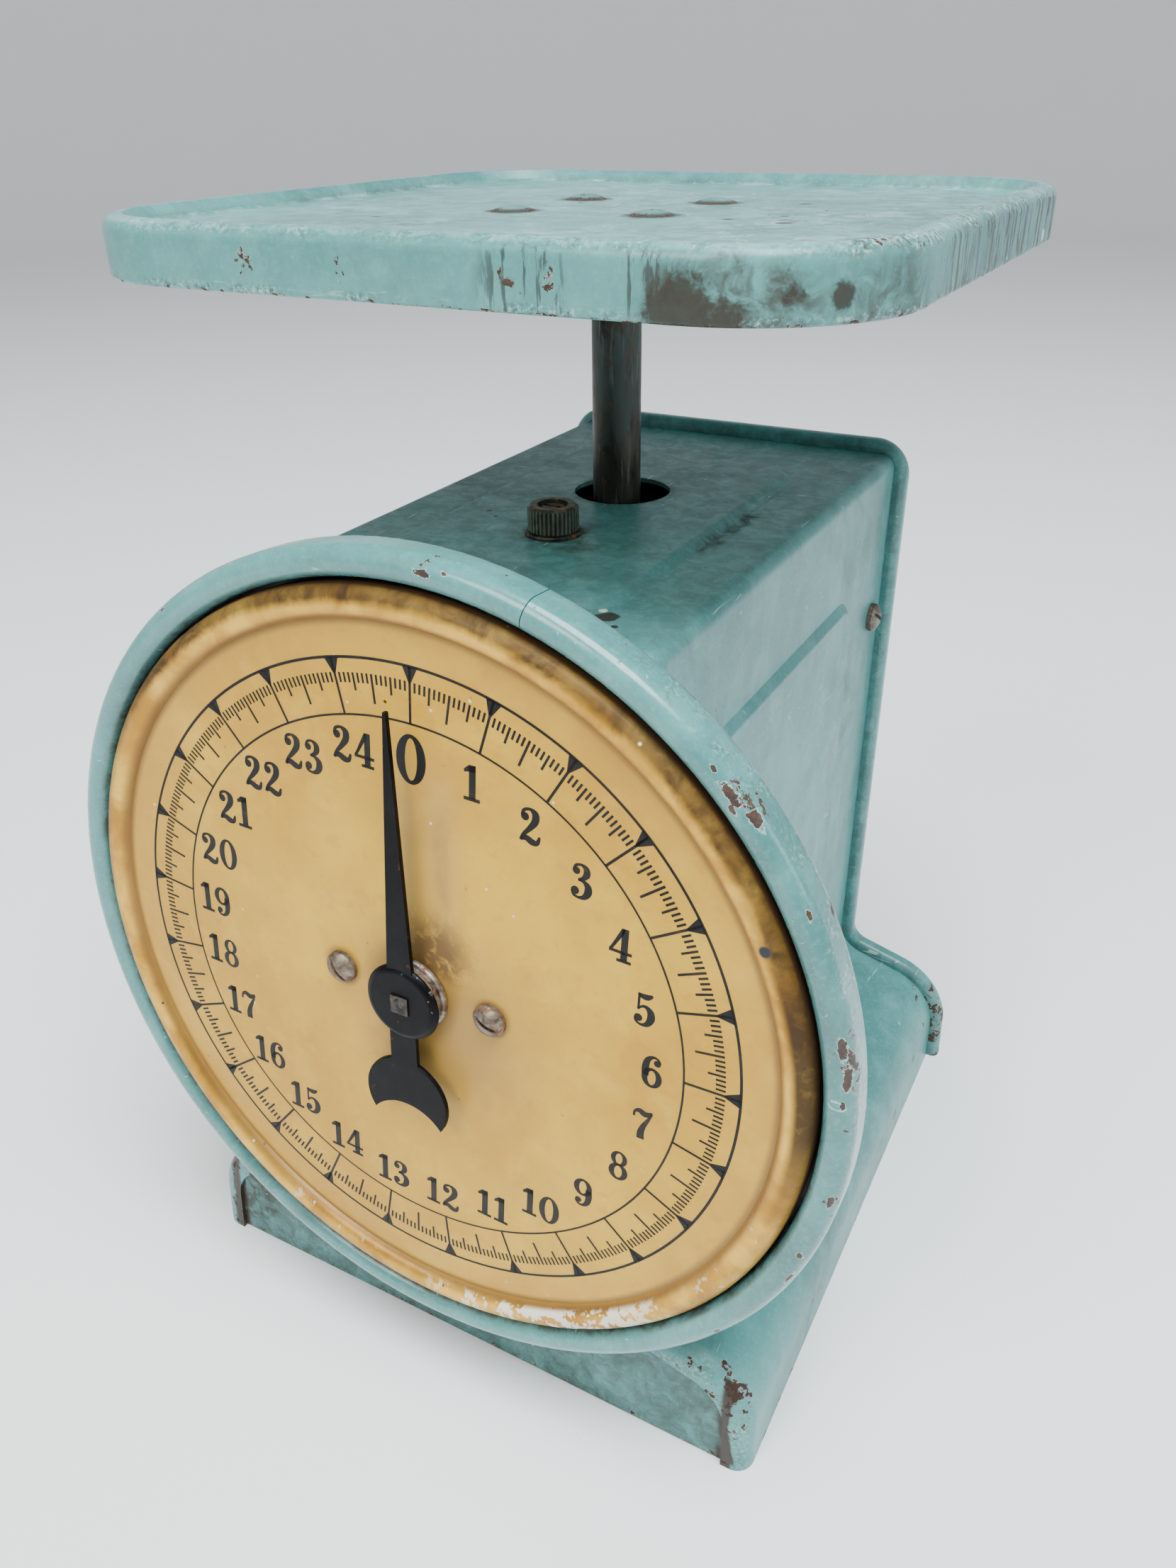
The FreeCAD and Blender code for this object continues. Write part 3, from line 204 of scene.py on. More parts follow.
def enamel(name, wear, dirt_and_shade=None, streaks=None, seed=0.0, chips=1.0, haze_and_sheen=None, shade_tone=0.0, pits=0.35, dark=None,
           pepper=None,
           spots=(), marks=None, gloss=0.0, spec=0.4, scored=False):
    """Worn teal paint. wear, dirt, streaks, haze, pepper and dark take the shader and give masks from 0 to 1. The
    dirt mask also lays painted shade on some parts, the haze mask a painted sky sheen as well as weathered haze, dark
    also painted shade inside the dial housing, and tone deepens the teal as painted shade on the front panel.

    marks gives a distance that is 1 at the edge of a chip; spots are (point, radius, colour)."""
    s = Shader(name)
    wide = s.noise(70.0, 3.0, 0.5, 0.4, seed=seed + 1)
    mottle = s.noise(9.0, 4.0, 0.6, 0.2, seed=seed + 2)
    fine = s.noise(0.9, 3.0, 0.6, seed=seed + 3)
    col = s.mix(s.step(wide, 0.34 + shade_tone, 0.66 + shade_tone), TEAL_DEEP, TEAL)
    col = s.mix(s.mul(s.step(mottle, 0.42, 0.75), 0.42), col, TEAL_PALE)
    col = s.mix(s.mul(s.step(fine, 0.46, 0.70), 0.16), col, (0.20, 0.50, 0.48))
    # brush and drip marks left by the enamel itself
    drip = s.noise(7.0, 3.0, 0.55, 0.5, squash=(1, 1, 0.18), seed=seed + 4)
    col = s.mix(s.mul(s.step(drip, 0.50, 0.72), 0.22), col, TEAL_PALE)
    # rubbed-in grey dirt; on the front panel and the bezel ring the dirt mask also lays painted shade
    grime_and_shade = s.mul(s.step(s.noise(24.0, 5.0, 0.62, 0.9, seed=seed + 5), 0.50, 0.78), 0.30)
    if dirt_and_shade is not None:
        rag = s.step(s.noise(4.5, 5.0, 0.68, 0.9, seed=seed + 6), 0.30, 0.66)
        grime_and_shade = s.most(grime_and_shade, s.mul(dirt_and_shade(s), rag, 0.95))
    col = s.mix(grime_and_shade, col, GRIME_AND_SHADE)
    # pale bluish haze on up-facing tops: weathered paint, with a painted sky sheen
    if haze_and_sheen is not None:
        col = s.mix(s.mul(haze_and_sheen(s), s.step(s.noise(5.0, 5.0, 0.7, 0.8, seed=seed + 7), 0.38, 0.66)), col,
                    (0.40, 0.62, 0.64))
    # hairline scratches, pale along and dark across
    scr = s.noise(2.2, 2.0, 0.5, 1.6, squash=(0.10, 1.1, 1.1), seed=seed + 8)
    scr2 = s.noise(2.0, 2.0, 0.5, 1.9, squash=(1.0, 0.09, 1.0), seed=seed + 9)
    line = s.most(s.mul(s.step(scr, 0.735, 0.765), 0.6), s.mul(s.step(scr2, 0.735, 0.765), 0.6))
    if scored:
        cross = s.noise(1.0, 2.0, 0.5, 1.2, squash=(0.11, 1.2, 1.0), seed=seed + 22)
        cross2 = s.noise(0.9, 2.0, 0.5, 1.4, squash=(0.8, 0.16, 1.0), seed=seed + 23)
        up = s.mul(s.step(s.facing((0, 0, 1)), 0.7, 0.9), s.step(s.noise(18.0, 3.0, 0.6, seed=seed + 24), 0.40, 0.58))
        line = s.most(s.mul(line, 0.4), s.mul(s.most(s.step(cross, 0.655, 0.685), s.step(cross2, 0.665, 0.695)), up,
                                              0.8))
    col = s.mix(line, col, (0.42, 0.62, 0.60))
    if pepper is not None:
        pk, pm = s.noise(0.85, 4.0, 0.72, 0.2, seed=seed + 20), pepper(s)
        col = s.mix(s.mul(s.step(pk, 0.47, 0.40), pm, 0.75), col, (0.50, 0.60, 0.57))
        col = s.mix(s.mul(s.step(pk, 0.53, 0.58), pm, 0.90), col, (0.055, 0.040, 0.028))
    # chips: bare dark steel with a broken pale primer line, and rust
    w = wear(s)
    big = s.noise(3.6, 5.0, 0.64, 0.25, seed=seed + 10)
    small = s.noise(1.1, 4.0, 0.62, 0.2, seed=seed + 11)
    field = s.op("ADD", s.mul(big, 0.62), s.mul(small, 0.38))
    limit = s.op("SUBTRACT", 0.735, s.mul(w, 0.235 * chips))
    over = s.op("SUBTRACT", field, limit)
    chip = s.step(over, 0.0, 0.008)
    rim = s.mul(s.step(over, -0.009, -0.001), s.inv(chip))
    dots = s.mul(s.spots(3.1, 0.34, seed + 12), s.step(s.noise(16.0, 2.0, seed=seed + 13), 0.50, 0.62),
                 s.op("ADD", pits, s.mul(w, 0.6), clamp=True))
    chip = s.most(chip, dots)
    brown = s.mix(s.step(s.noise(1.0, 4.0, 0.6, seed=seed + 14), 0.42, 0.70), BARE, RUST)
    halo = s.mul(s.step(over, -0.035, 0.0), 0.30)
    col = s.mix(halo, col, (0.13, 0.115, 0.075))
    col = s.mix(s.mul(rim, s.step(s.noise(2.0, 3.0, 0.6, seed=seed + 19), 0.44, 0.56), 0.80), col, PRIMER)
    if streaks is not None:
        k = s.noise(1.25, 4.0, 0.62, 0.3, squash=(1, 1, 0.10), seed=seed + 15)
        k2 = s.noise(3.0, 3.0, 0.6, 0.4, squash=(1, 1, 0.45), seed=seed + 16)
        run = s.mul(s.step(s.op("ADD", s.mul(k, 0.74), s.mul(k2, 0.26)), 0.505, 0.560), streaks(s))
        col = s.mix(s.mul(run, 0.96), col, (0.030, 0.022, 0.015))
    col = s.mix(chip, col, brown)
    ragged = s.op("ADD", 0.55, s.mul(s.noise(1.5, 4.0, 0.65, 0.4, seed=seed + 21), 0.9))
    for point, radius, tint in spots:
        d = s.mul(s.vec("LENGTH", s.vec("SUBTRACT", s.p, point)), ragged)
        col = s.mix(s.mul(s.step(d, radius, radius * 0.72), 0.95), col, tint)
    if marks is not None:
        q = marks(s)
        col = s.mix(s.mul(s.step(q, 1.34, 1.18), s.inv(s.step(q, 1.12, 1.0)), 0.50), col, PRIMER)
        cut = s.step(q, 1.08, 0.96)
        col = s.mix(cut, col, brown)
        chip = s.most(chip, cut)
    if dark is not None:
        # dark brown: rust where the mask is rust, painted shade inside the dial housing
        col = s.mix(dark(s), col, (0.034, 0.017, 0.010))
    rough = s.op("ADD", s.mul(s.noise(11.0, 4.0, 0.6, seed=seed + 17), 0.20), 0.21 - gloss)
    rough = s.op("ADD", rough, s.mul(s.most(grime_and_shade, chip), 0.38), clamp=True)
    s.bump(s.noise(2.6, 3.0, 0.5, seed=seed + 18), 0.035, 0.55)
    s.bump(s.inv(chip), 0.10, 0.8)
    s.bump(wide, 0.30, 0.35)
    return s.done(col, rough, 0.0, 0.08 + 2.4 * gloss, 0.14, spec)


def tray_wear(s):
    skirt = s.inv(s.step(s.op("ABSOLUTE", s.facing((0, 0, 1))), 0.25, 0.6))
    low = s.mul(s.step(s.z, 223.0, 222.3), 0.85)
    rim_right = s.mul(s.step(s.z, 229.8, 231.2), s.step(s.x, 62.0, 67.0), 0.50)
    near_rivets = s.mul(s.near((4.0, TRAY_Y - 2.0, FLOOR_Z), 34.0, 0.5), 0.46)
    rust = s.mul(s.near((40.0, 5.0, FLOOR_Z), 22.0, 0.6), 0.55)
    front = s.mul(skirt, s.step(s.y, -55.0, -61.0))
    nicks = None
    for x in (-26.0, -7.0, 20.0, 27.0):
        q = s.near((x, -63.0, 226.5), 4.4, 0.8, (1.0, 0.3, 0.8))
        nicks = q if nicks is None else s.most(nicks, q)
    back = s.mul(skirt, s.step(s.y, 60.0, 70.0), 0.40)
    return s.most(low, rim_right, near_rivets, rust, s.mul(front, 0.20), s.mul(nicks, front, 0.74), back,
                  s.mul(skirt, 0.18))


def tray_pepper(s):
    rim = s.mul(s.step(s.z, 229.4, 230.6), s.step(s.x, 61.0, 66.0))
    hem = s.mul(s.step(s.z, 224.0, 222.8), s.step(s.op("ABSOLUTE", s.facing((0, 0, 1))), 0.9, 0.5))
    front = s.mul(s.step(s.z, 229.8, 231.0), s.step(s.y, -50.0, -56.0), 0.45)
    ragged = s.step(s.noise(6.0, 3.0, 0.6, seed=212.0), 0.36, 0.60)
    return s.mul(s.most(rim, s.mul(hem, 0.8), front), ragged)


def tray_dirt(s):
    corner = s.near((52.0, -62.0, 224.5), 15.0, 0.45, (1.0, 0.5, 1.7))
    turn = s.mul(s.near((67.0, -46.0, 223.5), 16.0, 0.7, (1, 1, 1.3)), 0.80)
    rings = None
    for sx in (-1, 1):
        for sy in (-1, 1):
            q = s.near((sx * 14.0, POST_Y + sy * 14.0, FLOOR_Z), 6.2, 0.5)
            rings = q if rings is None else s.most(rings, q)
    reach = s.most(s.op("ABSOLUTE", s.x), s.op("ABSOLUTE", s.op("SUBTRACT", s.y, TRAY_Y)))
    gutter = s.mul(s.step(s.z, 231.0, 229.4), s.step(s.facing((0, 0, 1)), 0.35, 0.75), s.step(reach, 63.0, 66.0), 0.7)
    return s.most(corner, turn, s.mul(rings, 0.9), gutter)


def tray_streaks(s):
    right = s.mul(s.step(s.x, 66.0, 70.0), s.step(s.y, -38.0, -16.0), s.step(s.z, 231.4, 229.8))
    front = s.mul(s.near((41.0, -64.0, 227.0), 6.0, 0.6, (1, 0.3, 0.8)), 0.8)
    mid = s.mul(s.near((23.0, -62.0, 226.0), 9.0, 0.5, (1, 0.4, 1)), 0.80)
    side = s.inv(s.step(s.op("ABSOLUTE", s.facing((0, 0, 1))), 0.3, 0.8))
    return s.mul(s.most(right, front, mid), side)


# Up-facing tray tops: chalky haze together with a painted sky sheen
def tray_haze(s):
    return s.mul(s.step(s.facing((0, 0, 1)), 0.6, 0.9),
                 s.step(s.noise(22.0, 4.0, 0.6, 0.6, seed=218.0), 0.34, 0.70, 0.12, 0.58))


STAIN = (0.024, 0.022, 0.014)
RIVETS = tuple(((14.0 * i, POST_Y + 14.0 * j, FLOOR_Z), 6.2, (0.040, 0.058, 0.052)) for i in (-1, 1) for j in (-1, 1))
TRAY_SPOTS = RIVETS + (((46.0, -65.0, 223.6), 6.6, STAIN), ((53.0, -64.0, 222.6), 4.8, STAIN),
                       ((61.0, -59.5, 226.0), 3.2, STAIN),
              ((41.0, -66.0, 222.4), 3.4, STAIN), ((65.5, -54.0, 225.5), 2.6, STAIN), ((57.0, -63.0, 227.6), 1.8,
                      STAIN), ((40.0, -9.0, 229.5), 1.7, RUST), ((31.0, 27.0, 229.5), 1.5,
                                                                 RUST), ((29.0, -6.0, 229.5), 1.2, BARE),
              ((36.0, 2.0, 229.5), 1.0, RUST), ((70.8, 46.9, 223.8), 1.3, PRIMER), ((-31.0, -22.0, 229.5), 1.1, BARE))
WRAP_SPOTS = (((27.3, -46.3, 173.6), 2.3, BARE), ((25.4, -44.2, 173.4), 0.9, PRIMER),
              ((-18.7, -9.6, 174.8), 0.8, BARE),
              ((-15.6, -12.2, 174.8), 0.6, BARE), ((30.2, -49.5, 173.2), 0.8, BARE), ((70.7, 37.0, 7.0), 1.6, BARE),
              ((70.7, 54.0, 13.0), 1.3, BARE), ((70.4, 46.0, 3.5), 1.2, RUST), ((71.0, -30.0, 9.0), 0.9, BARE))


def wrap_wear(s):
    d = s.vec("DOT_PRODUCT", s.vec("SUBTRACT", s.p, (0.0, DIAL_Y, DIAL_Z)), (0.0, CT, -ST))
    band = s.mul(s.step(d, 13.4, 10.6), s.step(s.z, 46.0, 30.0))
    corner = s.mul(s.near((67.0, -69.0, 22.0), 13.0, 0.65), s.step(d, 22.0, 11.0), 0.92)
    foot = s.mul(s.step(s.z, 2.4, 0.6), 0.70)
    rear = s.mul(s.near((70.0, 70.0, 14.0), 26.0, 0.7), 0.50)
    bend = s.mul(s.step(s.op("ABSOLUTE", s.x), 39.9, 41.2), s.step(s.z, 170.5, 172.6), 0.30)
    knob = s.mul(s.near((4.0, KNOB_Y - 3.0, 174.8), 15.0, 0.5), 0.52)
    hole = s.mul(s.near((-1.0, 15.0, 174.8), 11.3, 0.10), 0.55)
    back = s.mul(s.step(s.y, 71.0, 74.0), 0.45)
    return s.most(s.mul(band, 0.66), corner, foot, rear, bend, knob, hole, back, 0.10)


def wrap_pepper(s):
    d = s.vec("DOT_PRODUCT", s.vec("SUBTRACT", s.p, (0.0, DIAL_Y, DIAL_Z)), (0.0, CT, -ST))
    lip = s.mul(s.step(d, 12.4, 10.4), s.step(s.z, 44.0, 28.0), 0.45)
    hem = s.mul(s.step(s.z, 2.2, 0.4), 0.7)
    return s.mul(s.most(lip, hem), s.step(s.noise(5.0, 3.0, 0.6, seed=214.0), 0.42, 0.62))


def wrap_dirt(s):
    top = s.step(s.z, 172.6, 173.3)
    edge = s.step(s.op("ABSOLUTE", s.op("SUBTRACT", s.x, 28.3)), 3.6, 0.4)
    along = s.mul(top, edge, s.step(s.y, 24.0, 14.0), s.step(s.y, -16.0, -7.0), 0.95)
    left = s.mul(top, s.step(s.op("ABSOLUTE", s.op("ADD", s.x, 28.3)), 2.0, 0.3), 0.25)
    knob = s.mul(s.near((0.0, KNOB_Y, 174.8), 8.6, 0.40), 1.0)
    smudge = s.mul(s.near((6.5, KNOB_Y - 5.0, 174.8), 9.0, 0.7, (1.0, 1.3, 1.0)), 0.8)
    post = s.mul(s.near((-1.0, 15.0, 174.8), 14.0, 0.35), 0.75)
    seam = s.mul(s.step(s.y, 70.0, 74.0), 0.6)
    bend = s.mul(s.step(s.op("ABSOLUTE", s.op("SUBTRACT", s.z, 36.0)), 4.5, 0.5), 0.30)
    front = s.mul(top, s.step(s.y, -50.0, -58.0), 0.5)
    return s.most(along, left, knob, smudge, post, seam, bend, front, s.mul(top, 0.34))


def band_rust(s):
    """Rust along the inner side of the front band, down both feet."""
    d = s.vec("DOT_PRODUCT", s.vec("SUBTRACT", s.p, (0.0, DIAL_Y, DIAL_Z)), (0.0, CT, -ST))
    x = s.op("ADD", s.op("ABSOLUTE", s.x),
             s.mul(s.op("SUBTRACT", s.noise(5.0, 4.0, 0.65, 0.4, squash=(1, 1, 0.4), seed=219.0), 0.5), 7.0))
    return s.mul(s.step(x, FEET_X + 2.2, FEET_X + 1.2), s.step(s.op("ABSOLUTE", s.x), FEET_X - 1.5, FEET_X - 0.5),
                 s.step(s.z, 30.0, 24.0), s.step(d, 12.2, 11.4), 0.95)


def crevice(s):
    """Rust packed into the joint between the wrap's turned edge and the front sheet."""
    d = s.vec("DOT_PRODUCT", s.vec("SUBTRACT", s.p, (0.0, DIAL_Y, DIAL_Z)), (0.0, CT, -ST))
    x = s.op("ABSOLUTE", s.x)
    at = s.mul(s.step(x, FEET_X - 2.4, FEET_X - 0.8), s.step(s.z, 44.0, 34.0), s.step(d, 11.6, 11.0),
               s.step(d, 9.9, 10.5))
    return s.mul(at, s.step(s.noise(3.0, 4.0, 0.6, 0.4, squash=(1, 1, 0.5), seed=215.0), 0.28, 0.50), 0.95)


def ring_wear(s):
    _, _, d, r, a = s.dial_frame()
    upper = s.mul(sector(s, a, 45.0, 51.0, 3.0), 0.96)
    right = s.mul(sector(s, a, 75.0, 82.0, 3.0), 1.0)
    lower = s.mul(s.most(sector(s, a, 96.0, 99.0, 2.5), sector(s, a, 106.0, 109.0, 2.5)), 0.92)
    top = s.mul(sector(s, a, 3.0, 6.5, 2.0), 0.90)
    wide = s.mul(sector(s, a, 36.0, 120.0, 12.0), 0.46)
    outer = s.step(r, 82.0, 83.6)
    front = s.step(d, 4.5, 1.5)
    return s.most(s.mul(s.most(upper, right, lower, top, wide), s.op("ADD", 0.62, s.mul(outer, 0.38)), front),
                  s.mul(outer, 0.42), 0.16)


RING_MARKS = ((46.0, 82.4, 2.3, 1.0), (49.6, 83.0, 1.8, 0.9), (47.6, 81.2, 1.0, 0.6), (43.0, 82.6, 0.8, 0.5),
              (76.6, 82.6, 2.1, 0.9),
              (80.4, 82.9, 2.6, 0.8), (83.6, 82.2, 0.9, 0.5), (4.7, 81.8, 1.5, 0.8), (7.4, 82.6, 0.7, 0.5), (97.6,
                      82.6, 1.2, 0.6),
              (107.4, 82.0, 0.8, 0.7), (112.0, 82.9, 1.6, 0.5), (61.0, 83.2, 0.9, 0.4), (128.0, 82.6, 0.9,
                      0.5), (-38.0, 83.0, 0.8, 0.4))


def ring_marks(s):
    """Broken-out chips at clockwise angle, radius, half length and half width; 1 is the edge of a chip."""
    _, _, d, r, a = s.dial_frame()
    jag = s.mul(s.op("SUBTRACT", s.noise(1.5, 4.0, 0.65, 0.3, seed=217.0), 0.5), 3.4)
    least = 9.0
    for angle, radius, long, wide in RING_MARKS:
        along = s.mul(s.op("SUBTRACT", a, angle), radius * math.pi / 180 * 1.15 / long)
        across = s.mul(s.op("SUBTRACT", r, radius), 1.6 / wide)
        q = s.op("SQRT", s.op("ADD", s.mul(along, along), s.mul(across, across)))
        least = s.op("MINIMUM", least, q)
    return s.op("ADD", least, s.op("ADD", jag, s.mul(s.step(d, 4.0, 6.0), 9.0)))


def ring_pepper(s):
    _, _, _, r, a = s.dial_frame()
    return s.mul(s.step(r, 83.0, 84.6), sector(s, a, 30.0, 130.0, 14.0),
                 s.step(s.noise(5.0, 3.0, 0.6, seed=216.0), 0.45, 0.62), 0.8)


# Grime, with painted shade: darker towards the inner lip by the gap round the dial and on the back of the ring
def ring_dirt(s):
    _, _, d, r, _ = s.dial_frame()
    return s.most(s.mul(s.step(r, 79.6, 78.6), 0.9), s.mul(s.step(d, 4.0, 6.5), 0.6))


# Painted shade: near-black brown over the inside of the dial housing, where the gap round the dial is in shade
def housing_dark(s):
    _, _, d, r, _ = s.dial_frame()
    return s.mul(s.step(r, 81.2, 80.9), s.step(d, 9.4, 9.1))


def panel_wear(s):
    edge = s.mul(s.step(s.op("ABSOLUTE", s.x), 56.0, 66.0), s.step(s.z, 34.0, 22.0), 0.55)
    low = s.mul(s.step(s.z, 3.0, 0.8), 0.75)
    return s.most(edge, low, 0.22)


# Grime along the bottom and in both lower corners; the 0.62 floor over the whole panel is painted shade under the
# dial housing
def panel_dirt(s):
    d = s.step(s.z, 5.0, 1.2)
    left = s.mul(s.near((-62.0, -68.0, 12.0), 15.0, 0.6), 1.0)
    return s.most(s.mul(d, 0.8), s.mul(s.near((63.0, -68.0, 16.0), 12.0, 0.7), 0.7), left, 0.62)


def rear_wear(s):
    low = s.mul(s.step(s.z, 4.0, 1.0), 0.85)
    rim = s.mul(s.step(s.y, 71.6, 75.8), 0.30)
    foot = s.mul(s.near((73.0, 74.0, 14.0), 26.0, 0.7), 0.85)
    foot2 = s.mul(s.near((-73.0, 74.0, 14.0), 26.0, 0.7), 0.7)
    hip = s.mul(s.near((60.0, 75.0, 40.0), 18.0, 0.7), 0.7)
    return s.most(low, rim, foot, foot2, hip, 0.20)


def rear_dirt(s):
    return s.most(s.mul(s.step(s.y, 74.0, 72.4), 0.5), s.mul(s.step(s.z, 9.0, 1.0), 0.6))


# ------------------------------------------------------------------ gold dial lacquer
def dial_lacquer():
    s = Shader("dial_lacquer")
    u, w, _, r, a = s.dial_frame()
    wide = s.noise(48.0, 3.0, 0.55, 0.5, seed=31)
    mott = s.noise(7.5, 4.0, 0.6, 0.4, seed=32)
    col = s.mix(s.step(wide, 0.36, 0.66), (0.510, 0.272, 0.014), (0.650, 0.380, 0.024))
    col = s.mix(s.mul(s.step(mott, 0.45, 0.75), 0.34), col, (0.740, 0.475, 0.055))
    col = s.mix(s.mul(s.step(s.noise(3.2, 4.0, 0.6, 0.5, seed=44), 0.52, 0.70), 0.26), col, (0.400, 0.205, 0.020))
    col = s.mix(s.mul(s.step(s.noise(1.1, 3.0, 0.6, seed=33), 0.50, 0.72), 0.12), col, (0.47, 0.27, 0.07))
    # foxed edge of the flat face, brown grease round the hub, and painted shade round and along the hand
    foot = s.mul(s.step(s.op("ABSOLUTE", s.op("SUBTRACT", r, 71.7)), 1.6, 0.15), 0.75)
    col = s.mix(s.mul(s.step(r, 60.0, 71.0), 0.22), col, (0.50, 0.28, 0.075))
    stains_and_shade = s.mul(s.near(tuple(v / MM for v in dial_point(5.0, 10.0)), 12.0, 0.80),
                  s.step(s.noise(3.0, 4.0, 0.65, 0.7, seed=34), 0.24, 0.54), 0.92)
    # brown round the hub: grease, with painted shade of the hand and hub
    stains_and_shade = s.most(stains_and_shade, s.mul(s.step(r, 13.5, 8.0), 0.50))
    # painted shade below the hub, where the hand's shadow falls
    stains_and_shade = s.most(stains_and_shade, s.mul(s.near(tuple(v / MM for v in dial_point(5.5, -4.0)), 25.0, 0.9), 0.34))
    drip = s.mul(s.step(s.op("ABSOLUTE", s.op("SUBTRACT", u, 7.2)), 2.6, 0.4), s.step(w, 10.0, 16.0),
                 s.step(w, 44.0, 34.0))
    stains_and_shade = s.most(stains_and_shade, s.mul(drip, s.step(s.noise(6.0, 4.0, 0.6, 0.5, squash=(1, 1, 0.3), seed=45), 0.36, 0.60),
                                0.30))
    # painted shade: a browner tint round the hub and along the hand, where the hand's shadow falls
    hub = s.near(tuple(v / MM for v in dial_point(5.0, -6.0)), 30.0, 0.9)
    hand_shadow_band = s.mul(s.step(s.op("ABSOLUTE", s.op("SUBTRACT", u, 4.0)), 10.0, 3.0), s.step(w, -36.0, -20.0),
                  s.step(w, 56.0, 36.0))
    col = s.mix(s.mul(s.most(hub, hand_shadow_band), 0.62), col, (0.430, 0.258, 0.078))
    for sx in (-1, 1):
        q = s.near(tuple(v / MM for v in dial_point(sx * 16.7, 0.0)), 5.2, 0.45)
        stains_and_shade = s.most(stains_and_shade, s.mul(q, 0.62))
    col = s.mix(stains_and_shade, col, (0.120, 0.066, 0.026))
    # raised bead: rubbed gold on the crest; its outer slope from the top round to the right is browned and darkened
    # further with painted shade, near black on the right
    bead = s.step(r, 71.6, 72.3)
    turn = s.step(s.noise(9.0, 4.0, 0.6, 0.6, seed=35), 0.30, 0.72)
    slope = s.step(s.op("ADD", r, s.mul(s.op("SUBTRACT", turn, 0.5), 0.8)), 74.3, 76.0)
    gold = s.mix(s.step(s.noise(14.0, 4.0, 0.6, 0.5, seed=36), 0.35, 0.68), (0.420, 0.200, 0.018),
                 (0.760, 0.450, 0.070))
    col = s.mix(bead, col, gold)
    upper = s.most(sector(s, a, -62.0, 100.0, 14.0), 0.30)
    browned_and_shade = s.mul(slope, upper, s.op("ADD", 0.70, s.mul(turn, 0.30)))
    right = s.mul(sector(s, a, 62.0, 100.0, 12.0), bead, s.step(r, 73.5, 75.3), 0.97)
    browned_and_shade = s.mul(s.most(browned_and_shade, right), s.step(s.noise(2.6, 4.0, 0.65, 0.5, seed=46), 0.24, 0.52, 0.88, 1.0))
    # painted shade over brown patina on the bead's outer slope, darkest on the right
    col = s.mix(s.mul(browned_and_shade, 0.97), col, (0.022, 0.0095, 0.0042))
    inner = s.mul(bead, s.step(r, 73.8, 72.4), s.op("ADD", 0.25, s.mul(turn, 0.5)))
    col = s.mix(s.mul(inner, 0.55), col, (0.36, 0.185, 0.045))
    col = s.mix(foot, col, (0.17, 0.085, 0.026))
    # lacquer gone white at the lower right of the bead, with painted glare there too
    field = s.op("ADD", s.mul(s.noise(8.0, 5.0, 0.66, 0.7, squash=(1, 1, 1), seed=37), 0.6),
                 s.mul(s.noise(1.9, 4.0, 0.6, seed=38), 0.4))
    low = s.most(sector(s, a, 132.0, 176.0, 12.0),
                 s.mul(s.most(sector(s, a, -180.0, -140.0, 16.0), sector(s, a, 104.0, 132.0, 8.0)), 0.40))
    whitened_and_glare = s.mul(s.step(s.op("ADD", field, s.mul(low, 0.185)), 0.645, 0.672), low, s.step(r, 72.0, 73.0),
                 s.step(r, 77.4, 76.0))
    col = s.mix(s.mul(whitened_and_glare, 0.85), col, (0.80, 0.76, 0.66))
    # pinholes, flyspecks and small cream nicks
    pin = s.mul(s.spots(5.2, 0.40, 5.0), s.step(s.noise(13.0, 2.0, seed=39), 0.47, 0.60),
                s.op("ADD", 0.45, s.mul(bead, 0.55)))
    nick = s.mul(s.spots(5.6, 0.40, 8.0), s.step(s.noise(17.0, 2.0, seed=40), 0.47, 0.57))
    col = s.mix(s.mul(nick, 0.75), col, (0.86, 0.76, 0.55))
    col = s.mix(s.mul(pin, 0.9), col, (0.045, 0.024, 0.014))
    nib = s.near(tuple(v / MM for v in dial_point(67.0, 32.9, 2.1)), 1.25, 0.4)
    col = s.mix(nib, col, (0.03, 0.03, 0.04))
    # painted shade: near-black at the bead's outer edge, standing for the shaded gap to the ring
    dark = s.mul(s.step(r, 77.3, 77.6), 0.9)
    col = s.mix(dark, col, (0.05, 0.025, 0.012))
    metal = s.mul(bead, s.inv(s.most(whitened_and_glare, s.mul(browned_and_shade, 0.8))), 0.55)
    rough = s.op("ADD", s.op("ADD", 0.24, s.mul(s.noise(16.0, 4.0, 0.6, seed=41), 0.24)),
                 s.mul(s.most(stains_and_shade, whitened_and_glare, pin, browned_and_shade), 0.32), clamp=True)
    s.bump(s.noise(1.4, 3.0, 0.55, seed=42), 0.020, 0.5)
    s.bump(s.inv(s.most(pin, nick)), 0.06, 0.7)
    s.bump(s.noise(30.0, 2.0, seed=43), 0.25, 0.35)
    return s.done(col, rough, metal, 0.05, 0.16, 0.25)


